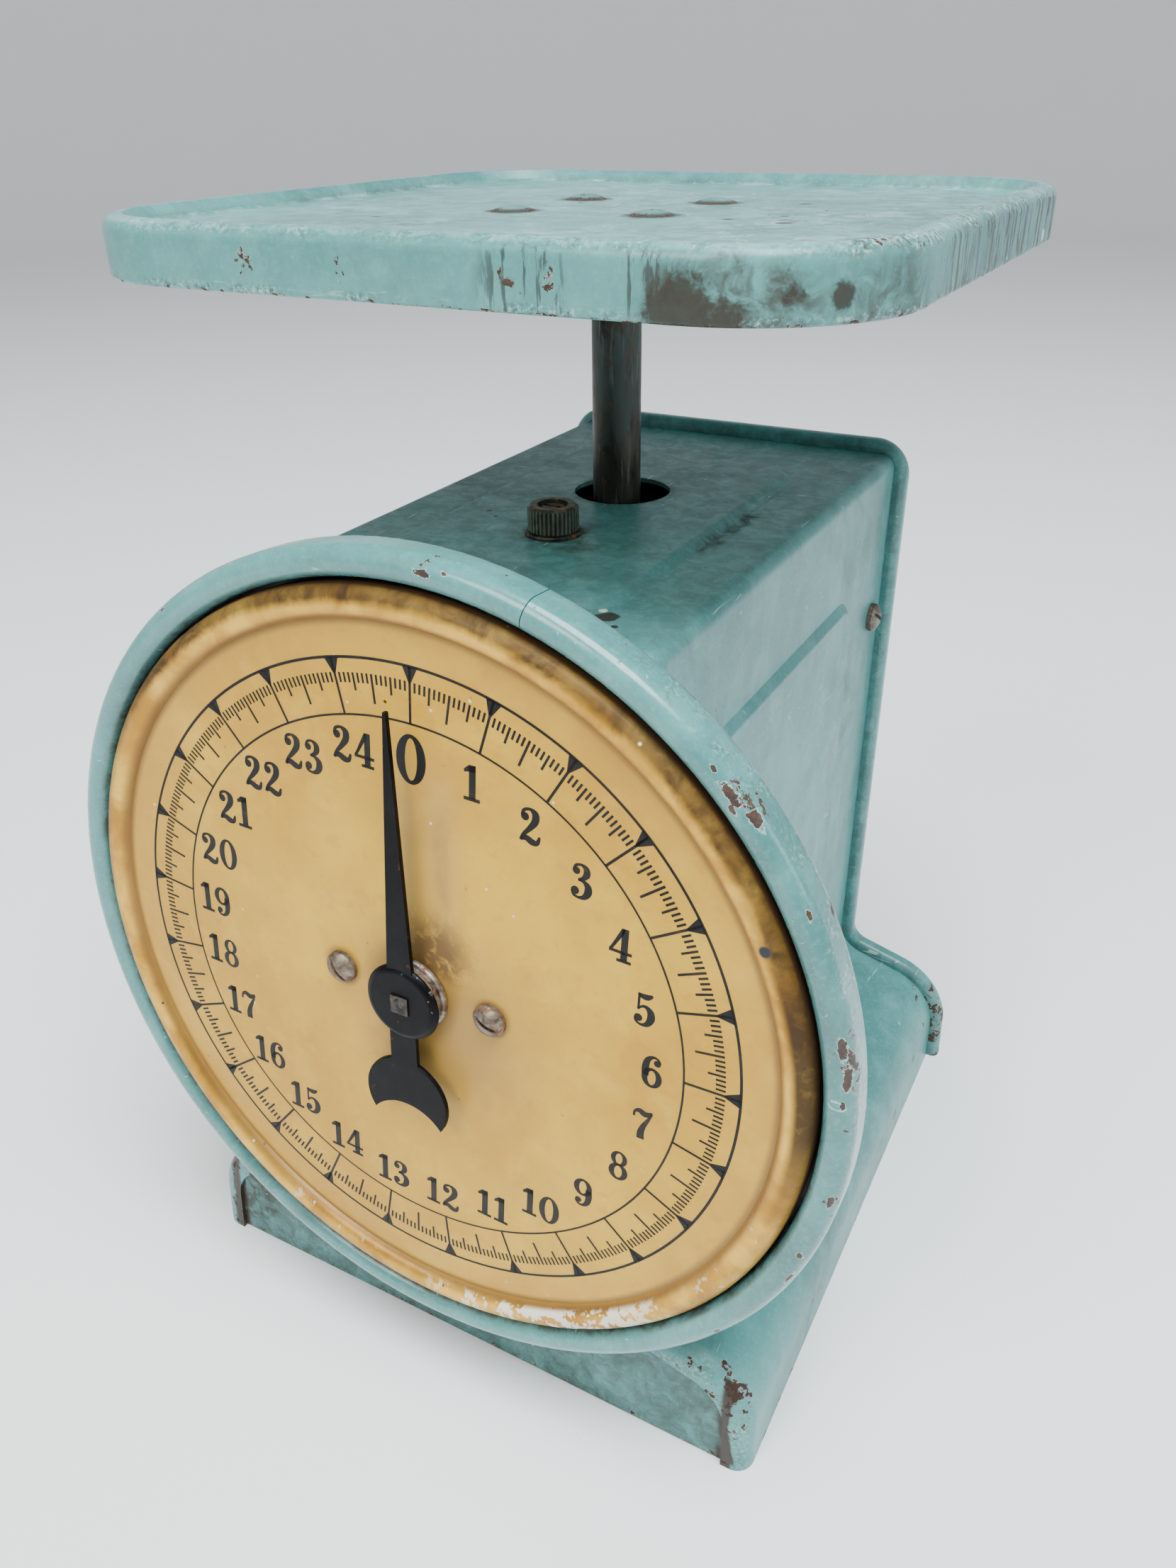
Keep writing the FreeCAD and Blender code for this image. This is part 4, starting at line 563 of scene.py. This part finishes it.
# ------------------------------------------------------------------ metals and inks
def metal(name, tint, dull, rough=0.34, blotch=6.0, rust=0.35, seed=0.0, metallic=0.9, grain=(1, 1, 1),
          rust_col=(0.16, 0.065, 0.028)):
    s = Shader(name)
    a = s.noise(blotch, 5.0, 0.62, 0.6, seed=seed + 1)
    col = s.mix(s.step(a, 0.36, 0.66), dull, tint)
    g = s.noise(1.1, 3.0, 0.6, 0.2, squash=grain, seed=seed + 2)
    col = s.mix(s.mul(s.step(g, 0.42, 0.70), 0.35), col, tuple(min(1.0, v * 1.35) for v in tint))
    r = s.mul(s.step(s.op("ADD", s.mul(s.noise(3.4, 5.0, 0.66, 0.5, seed=seed + 3), 0.6),
                          s.mul(s.noise(0.9, 3.0, seed=seed + 4),
                                0.4)), 0.56 - 0.10 * rust, 0.66 - 0.10 * rust), 0.9 if rust > 0 else 0.0)
    col = s.mix(r, col, rust_col)
    rr = s.op("ADD", rough, s.op("ADD", s.mul(g, 0.16), s.mul(r, 0.38)), clamp=True)
    s.bump(g, 0.03, 0.5)
    s.bump(s.inv(r), 0.04, 0.5)
    return s.done(col, rr, s.mul(s.inv(s.mul(r, 0.85)), metallic))


def black_enamel():
    s = Shader("hand_enamel")
    _, _, _, r, _ = s.dial_frame()
    base = s.mix(s.step(s.noise(8.0, 4.0, 0.6, seed=51), 0.4, 0.7), (0.0015, 0.0015, 0.0024),
                 (0.0045, 0.0042, 0.0056))
    worn = s.mul(s.step(s.noise(2.2, 4.0, 0.65, 0.5, seed=52), 0.62, 0.70), s.step(r, 8.2, 7.4), s.step(r, 6.6, 7.2),
                 0.8)
    dots = s.mul(s.spots(2.9, 0.30, 3.0), s.step(s.noise(9.0, 2.0, seed=53), 0.52, 0.60))
    edge = s.mul(s.step(s.noise(2.2, 4.0, 0.7, 0.4, seed=54), 0.66, 0.70), s.step(r, 6.5, 9.0), 0.8)
    col = s.mix(worn, base, (0.46, 0.43, 0.39))
    col = s.mix(s.mul(edge, 0.7), col, (0.13, 0.050, 0.026))
    col = s.mix(s.mul(dots, 0.9), col, (0.28, 0.085, 0.035))
    rough = s.op("ADD", s.op("ADD", 0.30, s.mul(s.noise(3.0, 4.0, 0.6, seed=55), 0.16)),
                 s.mul(s.most(edge, dots), 0.4), clamp=True)
    s.bump(s.noise(1.2, 3.0, 0.5, seed=56), 0.03, 0.5)
    s.bump(s.noise(5.0, 2.0, seed=57), 0.10, 0.4)
    return s.done(col, rough, s.mul(worn, 0.8), 0.0, 0.12, 0.10)


def ink():
    s = Shader("dial_ink")
    thin = s.step(s.noise(2.4, 5.0, 0.7, 0.4, seed=61), 0.60, 0.74)
    col = s.mix(s.step(s.noise(12.0, 3.0, seed=62), 0.4, 0.7), (0.0045, 0.0042, 0.0055), (0.014, 0.011, 0.010))
    col = s.mix(s.mul(thin, 0.22), col, (0.23, 0.145, 0.060))
    return s.done(col, s.op("ADD", 0.42, s.mul(thin, 0.2)), 0.0, 0.0, 0.2, 0.2)


def post_metal():
    s = Shader("post_metal")
    a = s.noise(5.0, 5.0, 0.65, 0.7, squash=(1, 1, 0.28), seed=71)
    col = s.mix(s.step(a, 0.36, 0.64), (0.009, 0.0085, 0.007), (0.046, 0.042, 0.034))
    tealish = s.mul(s.step(s.noise(7.0, 4.0, 0.6, 0.8, squash=(1, 1, 0.3), seed=72), 0.53, 0.62),
                    s.step(s.z, 174.0, 222.0, 0.45, 0.7))
    col = s.mix(tealish, col, (0.026, 0.056, 0.050))
    g = s.noise(0.7, 3.0, 0.6, squash=(1, 1, 0.06), seed=73)
    col = s.mix(s.mul(s.step(g, 0.54, 0.70), 0.40), col, (0.20, 0.185, 0.155))
    rust = s.step(s.noise(3.1, 5.0, 0.68, 0.5, seed=74), 0.60, 0.66)
    col = s.mix(s.mul(rust, 0.85), col, (0.060, 0.028, 0.015))
    rough = s.op("ADD", 0.32, s.op("ADD", s.mul(g, 0.14), s.mul(s.most(rust, tealish), 0.25)), clamp=True)
    s.bump(g, 0.03, 0.5)
    s.bump(s.inv(rust), 0.05, 0.6)
    return s.done(col, rough, s.mul(s.inv(s.most(rust, tealish)), 0.75))


def knob_metal():
    s = Shader("knob_metal")
    topring = s.step(s.z, 179.9, 180.4)
    teal = s.mix(s.step(s.noise(2.6, 4.0, 0.6, 0.4, seed=81), 0.38, 0.62), (0.018, 0.034, 0.026),
                 (0.062, 0.110, 0.086))
    brass = s.mix(s.step(s.noise(1.4, 4.0, 0.6, seed=82), 0.4, 0.66), (0.030, 0.018, 0.009), (0.120, 0.076, 0.034))
    radial = s.vec("LENGTH", s.vec("MULTIPLY", s.vec("SUBTRACT", s.p, (0.0, KNOB_Y, 0.0)), (1, 1, 0)))
    ridge = s.step(radial, 4.72, 4.96)
    col = s.mix(s.mul(ridge, 0.50), teal, (0.120, 0.115, 0.075))
    col = s.mix(s.mul(s.step(radial, 4.82, 4.68), 0.7), col, (0.010, 0.011, 0.009))
    col = s.mix(topring, col, brass)
    s.bump(s.noise(0.8, 3.0, seed=83), 0.03, 0.5)
    return s.done(col, s.op("ADD", 0.38, s.mul(s.noise(2.0, 3.0, seed=84), 0.2)), s.mul(topring, 0.5))


# ------------------------------------------------------------------ print on the dial
class Print:
    """Flat ink shapes lying just proud of the dial face, in dial millimetres."""

    def __init__(self, off):
        self.v, self.f, self.off = [], [], off
        self.c, self.k = math.cos(PRINT_TURN), math.sin(PRINT_TURN)

    def poly(self, pts):
        area = sum(pts[i - 1][0] * pts[i][1] - pts[i][0] * pts[i - 1][1] for i in range(len(pts)))
        if area < 0:
            pts = pts[::-1]
        n = len(self.v)
        for x, y in pts:
            self.v.append(dial_point(x * self.c - y * self.k, x * self.k + y * self.c, self.off))
        self.f.append(list(range(n, n + len(pts))))

    def arc_band(self, r0, r1, a0, a1, n):
        for i in range(n):
            t0, t1 = a0 + (a1 - a0) * i / n, a0 + (a1 - a0) * (i + 1) / n
            self.poly([(r * math.sin(t), r * math.cos(t)) for r, t in ((r0, t0), (r1, t0), (r1, t1), (r0, t1))])

    def bar(self, t, r0, r1, w0, w1=None):
        w1 = w0 if w1 is None else w1
        s, c = math.sin(t), math.cos(t)
        self.poly([(r * s + h * c, r * c - h * s) for r,
                   h in ((r0, -w0 / 2), (r0, w0 / 2), (r1, w1 / 2), (r1, -w1 / 2))])

    def mesh(self, name):
        me = bpy.data.meshes.new(name)
        me.from_pydata(self.v, [], self.f)
        me.update()
        o = bpy.data.objects.new(name, me)
        bpy.context.scene.collection.objects.link(o)
        return o


def smooth_line(pts, n=9):
    """Catmull-Rom through (x, y, width)."""
    p = [pts[0]] + list(pts) + [pts[-1]]
    out = []
    for i in range(1, len(p) - 2):
        for k in range(n):
            t = k / n
            out.append(tuple(0.5 * (2 * p[i][j] + (p[i + 1][j] - p[i - 1][j]) * t
                                    + (2 * p[i - 1][j] - 5 * p[i][j] + 4 * p[i + 1][j] - p[i + 2][j]) * t * t
                                    + (3 * p[i][j] - p[i - 1][j] - 3 * p[i + 1][j] + p[i + 2][j]) * t ** 3) for j in range(3)))
    out.append(pts[-1])
    return out


def stroke(pts, n=9):
    """Closed outline pieces of a line whose width changes along it."""
    c = smooth_line(pts, n)
    side = []
    for i, (x, y, w) in enumerate(c):
        a, b = c[max(i - 1, 0)], c[min(i + 1, len(c) - 1)]
        dx, dy = b[0] - a[0], b[1] - a[1]
        d = math.hypot(dx, dy) or 1.0
        side.append(((x - dy / d * w / 2, y + dx / d * w / 2), (x + dy / d * w / 2, y - dx / d * w / 2)))
    return [[side[i][0], side[i][1], side[i + 1][1], side[i + 1][0]] for i in range(len(side) - 1)]


def ball(x, y, r, n=18):
    return [[(x + r * math.cos(2 * math.pi * i / n), y + r * math.sin(2 * math.pi * i / n)) for i in range(n)]]


def oval(cx, cy, ax, ay, bx, by, shift=0.0, n=40):
    """Ring between an outer and an inner ellipse."""
    out = []
    for i in range(n):
        t0, t1 = 2 * math.pi * i / n, 2 * math.pi * (i + 1) / n
        q = lambda a, b, t, s=0.0: (cx + s + a * math.cos(t), cy + b * math.sin(t))
        out.append([q(ax, ay, t0), q(ax, ay, t1), q(bx, by, t1, shift), q(bx, by, t0, shift)])
    return out


def rect(x0, x1, y0, y1):
    return [[(x0, y0), (x1, y0), (x1, y1), (x0, y1)]]


# figures one unit tall with slab feet, ball ends and strong thick-and-thin
FIGURES = {
    "0": (0.66, oval(0.33, 0.5, 0.33, 0.51, 0.135, 0.43)),
    "1": (0.50, rect(0.17, 0.37, 0.05, 0.96) + rect(0.02, 0.50, 0.0,
                                                    0.10) + [[(0.17, 0.99), (0.37, 1.0), (0.37, 0.8), (0.17, 0.80),
                                                              (0.03, 0.77), (0.02, 0.85)]]),
    "2": (0.62, ball(0.155, 0.735, 0.115) + stroke([(0.06, 0.74, 0.06), (0.12, 0.90, 0.09), (0.29, 0.96, 0.09),
                                                    (0.44, 0.86, 0.20), (0.44, 0.66, 0.20),
                                                  (0.30, 0.44, 0.15), (0.12, 0.22, 0.10), (0.05, 0.05, 0.09)])
          + stroke([(0.05, 0.10, 0.10), (0.20, 0.15, 0.17), (0.38, 0.075, 0.19), (0.52, 0.09, 0.13),
                    (0.58, 0.27, 0.07)])),
    "3": (0.60, ball(0.145, 0.775, 0.105) + ball(0.135, 0.215, 0.115)
          + stroke([(0.06, 0.79, 0.05), (0.13, 0.92, 0.08), (0.28, 0.965, 0.08), (0.41, 0.88, 0.17),
                    (0.43, 0.73, 0.19), (0.34, 0.60, 0.12), (0.22, 0.545, 0.07)])
          + stroke([(0.20, 0.535, 0.07), (0.35, 0.52, 0.10), (0.48, 0.40, 0.19), (0.49, 0.24, 0.21),
                    (0.40, 0.09, 0.15), (0.24, 0.035, 0.08), (0.10, 0.08, 0.08), (0.035, 0.20, 0.05)])),
    "4": (0.66, rect(0.34, 0.53, 0.05, 0.99) + rect(0.24, 0.64, 0.0, 0.09) + rect(0.02, 0.65, 0.245, 0.335)
          + [[(0.34, 0.99), (0.42, 0.99), (0.42, 0.86), (0.125, 0.335), (0.02, 0.335), (0.02, 0.30)]]),
    "5": (0.60, ball(0.15, 0.225, 0.115) + rect(0.10, 0.17, 0.47, 0.97)
          + stroke([(0.10, 0.95, 0.07), (0.22, 0.90, 0.15), (0.36, 0.905, 0.17), (0.50, 0.99, 0.07)])
          + stroke([(0.135, 0.50, 0.05), (0.25, 0.60, 0.08), (0.38, 0.585, 0.13), (0.48, 0.46, 0.20),
                    (0.49, 0.28, 0.21), (0.40, 0.10, 0.15), (0.24, 0.035, 0.08), (0.10, 0.09, 0.07), (0.045, 0.21,
                            0.05)])),
    "6": (0.62, oval(0.335, 0.30, 0.285, 0.315, 0.115, 0.225) + ball(0.455, 0.80, 0.10)
          + stroke([(0.55, 0.83, 0.05), (0.46, 0.94, 0.07), (0.32, 0.955, 0.09), (0.19, 0.83, 0.16),
                    (0.14, 0.60, 0.20), (0.15, 0.33, 0.20)])),
    "7": (0.60, stroke([(0.05, 0.70, 0.07), (0.07, 0.86, 0.08), (0.20, 0.93, 0.16), (0.36, 0.87, 0.19),
                        (0.50, 0.94, 0.10), (0.56, 0.99, 0.06)])
          + stroke([(0.56, 0.96, 0.05), (0.46, 0.72, 0.10), (0.34, 0.46, 0.15), (0.28, 0.22, 0.20),
                    (0.29, 0.01, 0.22)])),
    "8": (0.62, oval(0.315, 0.745, 0.245, 0.255, 0.10, 0.185) + oval(0.315, 0.285, 0.285, 0.29, 0.115, 0.205)),
    "9": (0.62, oval(0.285, 0.70, 0.285, 0.31, 0.115, 0.225) + ball(0.165, 0.20, 0.10)
          + stroke([(0.07, 0.17, 0.05), (0.16, 0.06, 0.07), (0.30, 0.045, 0.09), (0.43, 0.17, 0.16),
                    (0.48, 0.40, 0.20), (0.47, 0.67, 0.20)])),
}


def dial_print():
    p = Print(PRINT_PROUD)
    p.arc_band(SCALE_R - 0.26, SCALE_R + 0.26, 0.0, 2 * math.pi, 240)
    p.arc_band(INNER_R - 0.20, INNER_R + 0.20, 0.0, 2 * math.pi, 220)
    for k in range(25):
        t = 2 * math.pi * k / 25
        p.bar(t, INNER_R, SCALE_R, 0.50)
        p.bar(t, 61.9, SCALE_R, 0.3, 3.1)
        for j in range(1, 16):
            a = t + 2 * math.pi * j / 400
            if j == 8:
                p.bar(a, 57.0, 62.3, 0.48)
            elif j % 4 == 0:
                p.bar(a, 59.1, 62.3, 0.45)
            else:
                p.bar(a, 60.5, 62.3, 0.44)
        size = 9.2 if k == 0 else 6.7
        text = str(k)
        gap = 0.07
        width = sum(FIGURES[c][0] for c in text) + gap * (len(text) - 1)
        cx, cy = FIGURE_R * math.sin(t), FIGURE_R * math.cos(t)
        if k == 0:
            cy -= 0.6
        x = cx - width * size / 2
        for c in text:
            w, parts = FIGURES[c]
            for q in parts:
                p.poly([(x + a * size, cy + (b - 0.5) * size) for a, b in q])
            x += (w + gap) * size
    return p.mesh("dial_print")


# ------------------------------------------------------------------ dress the CAD nodes
def dress(names, material):
    for n in names.split():
        o = nodes[n]
        o.data.materials.clear()
        o.data.materials.append(material)


dress("platform_tray", enamel("enamel_tray", tray_wear, tray_dirt, tray_streaks, seed=0.0, haze_and_sheen=tray_haze,
                              pepper=tray_pepper, scored=True,
                              spots=TRAY_SPOTS))
dress("platform_rivets", enamel("enamel_rivets", lambda s: s.step(s.z, 229.6, 230.2, 0.90, 0.62),
                                lambda s: s.step(s.z, 230.2, 229.6, 0.3, 1.0), seed=3.0,
                              dark=lambda s: s.step(s.z, 230.15, 229.75, 0.0, 0.85)))
dress("case_wrap", enamel("enamel_wrap", wrap_wear, wrap_dirt, seed=7.0, pepper=wrap_pepper, spots=WRAP_SPOTS,
                          dark=band_rust, gloss=-0.03, spec=0.28))
# front panel: tone 0.20 and the dirt floor darken it as painted shade under the dial
dress("front_panel", enamel("enamel_front", panel_wear, panel_dirt, seed=11.0, chips=0.9, dark=crevice, shade_tone=0.20,
                            gloss=-0.02, spec=0.3))
dress("rear_panel bracket_rivets", enamel("enamel_rear", rear_wear, rear_dirt, seed=15.0))
dress("dial_housing", enamel("enamel_housing", lambda s: s.most(0.25, 0.0), lambda s: s.most(0.45, 0.0), seed=19.0,
                             dark=housing_dark))
dress("bezel_ring", enamel("enamel_ring", ring_wear, ring_dirt, seed=23.0, pits=0.45, pepper=ring_pepper,
                           marks=ring_marks, gloss=0.09))
dress("dial_plate", dial_lacquer())
dress("pointer_hand", black_enamel())
dress("pointer_hub", metal("hub_steel", (0.44, 0.40, 0.35), (0.10, 0.070, 0.048), 0.38, 2.2, 0.5, 89.0))
dress("pointer_shaft", metal("shaft_steel", (0.080, 0.070, 0.062), (0.016, 0.014, 0.014), 0.30, 2.0, 0.2, 91.0))
dress("dial_screws", metal("screw_steel", (0.27, 0.23, 0.185), (0.100, 0.076, 0.054), 0.40, 2.4, 0.75, 93.0))
dress("case_screws", metal("side_screw_steel", (0.22, 0.21, 0.18), (0.085, 0.080, 0.066), 0.44, 2.4, 0.6, 95.0))
dress("dial_spacers dial_nuts housing_rivets bridge_screws guide_screw post_nut pivot_pin_upper "
      "pivot_pin_lower yoke_pin_upper yoke_pin_lower spring_bar hanger_nut",
      metal("zinc_plate", (0.46, 0.46, 0.44), (0.24, 0.24, 0.22), 0.34, 4.0, 0.25, 97.0))
dress("adjuster_washer", metal("washer_steel", (0.075, 0.078, 0.062), (0.022, 0.021, 0.017), 0.45, 2.0, 0.6, 99.0))
dress("adjuster_screw", metal("adjuster_steel", (0.070, 0.064, 0.056), (0.016, 0.014, 0.012), 0.40, 1.6, 0.5, 101.0))
dress("adjuster_nut", knob_metal())
dress("post", post_metal())
dress("movement_bridge pivot_bracket platform_spider yoke link_upper link_lower spring_hanger",
      metal("stamped_steel", (0.36, 0.36, 0.34), (0.17, 0.165, 0.15), 0.40, 9.0, 0.35, 103.0, grain=(1, 1, 0.2)))
dress("front_bush rear_bush rack_guide rack rack_rivets pinion shaft_collar",
      metal("old_brass", (0.56, 0.42, 0.18), (0.30, 0.20, 0.075), 0.30, 5.0, 0.15, 105.0,
            rust_col=(0.10, 0.075, 0.035)))
dress("spring_left spring_right",
      metal("spring_wire", (0.28, 0.28, 0.29), (0.11, 0.11, 0.115), 0.30, 4.0, 0.3, 107.0))

scale_print = dial_print()
scale_print.data.materials.append(ink())
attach(scale_print, "case")

# ------------------------------------------------------------------ floor, light, camera
FLAT, CURVE, WALL, TURNS = 2.4, 0.9, 3.2, 96
profile = [(FLAT * k / 4, 0.0) for k in range(1, 5)]
profile += [(FLAT + CURVE * math.sin(a), CURVE * (1 - math.cos(a))) for a in (math.pi * k / 24 for k in range(1, 13))]
profile += [(FLAT + CURVE, z) for z in (1.6, 2.4, WALL)]
verts, faces = [(0.0, 0.0, 0.0)], []
for r, z in profile:
    verts += [(r * math.cos(2 * math.pi * k / TURNS), r * math.sin(2 * math.pi * k / TURNS), z) for k in range(TURNS)]
for k in range(TURNS):
    faces.append((0, 1 + k, 1 + (k + 1) % TURNS))
    for i in range(len(profile) - 1):
        a, b = 1 + i * TURNS, 1 + (i + 1) * TURNS
        faces.append((a + k, b + k, b + (k + 1) % TURNS, a + (k + 1) % TURNS))
fmesh = bpy.data.meshes.new("floor")
fmesh.from_pydata(verts, [], faces)
fmesh.update()
fmesh.polygons.foreach_set("use_smooth", [True] * len(fmesh.polygons))
floor = bpy.data.objects.new("floor", fmesh)
bpy.context.scene.collection.objects.link(floor)
fm = bpy.data.materials.new("floor")
fm.use_nodes = True
fb = fm.node_tree.nodes["Principled BSDF"]
fb.inputs["Base Color"].default_value = (0.90, 0.91, 0.92, 1)
fb.inputs["Roughness"].default_value = 0.8
fb.inputs["Specular IOR Level"].default_value = 0.2
floor.data.materials.append(fm)


def area(name, place, aim, size, power, color=(1, 1, 1)):
    light = bpy.data.lights.new(name, "AREA")
    light.shape, light.size, light.energy, light.color = "DISK", size, power, color
    o = bpy.data.objects.new(name, light)
    bpy.context.scene.collection.objects.link(o)
    o.location = place
    o.rotation_euler = (Vector(aim) - Vector(place)).to_track_quat("-Z", "Y").to_euler()
    return o


area("key", (0.30, -0.30, 1.45), (0, 0, 0.12), 0.9, 42.0, (0.91, 0.97, 1.0))
area("right_fill", (1.45, 0.10, 0.75), (0, 0, 0.10), 0.7, 4.5, (0.94, 0.99, 1.0))
area("front_fill", (-0.30, -1.15, 1.20), (0, 0, 0.13), 0.7, 15.0, (1.0, 0.95, 0.87))

world = bpy.data.worlds.new("studio")
bpy.context.scene.world = world
world.use_nodes = True
wb = world.node_tree.nodes["Background"]
wb.inputs["Color"].default_value = (0.93, 0.96, 1.0, 1)
wb.inputs["Strength"].default_value = 0.34


def rotation(v):
    a = Vector(v)
    return Matrix.Rotation(a.length, 3, a.normalized())


CAMERA_PLACE = (112.81, -209.68, 248.13)       # mm
CAMERA_TURN = (2.0469, 0.5085, -0.3109)        # rotation vector, radians
SENSOR, LENS = 36.0, 27.57
cam_data = bpy.data.cameras.new("camera")
cam_data.sensor_fit, cam_data.sensor_height, cam_data.sensor_width = "VERTICAL", SENSOR, SENSOR
cam_data.lens = LENS
cam_data.clip_start, cam_data.clip_end = 0.01, 50.0
cam = bpy.data.objects.new("camera", cam_data)
bpy.context.scene.collection.objects.link(cam)
rows = rotation(CAMERA_TURN)
axes = Matrix((rows[0], -rows[1], -rows[2])).transposed()
cam.matrix_world = Matrix.Translation(Vector(CAMERA_PLACE) * MM) @ axes.to_4x4()
bpy.context.scene.camera = cam
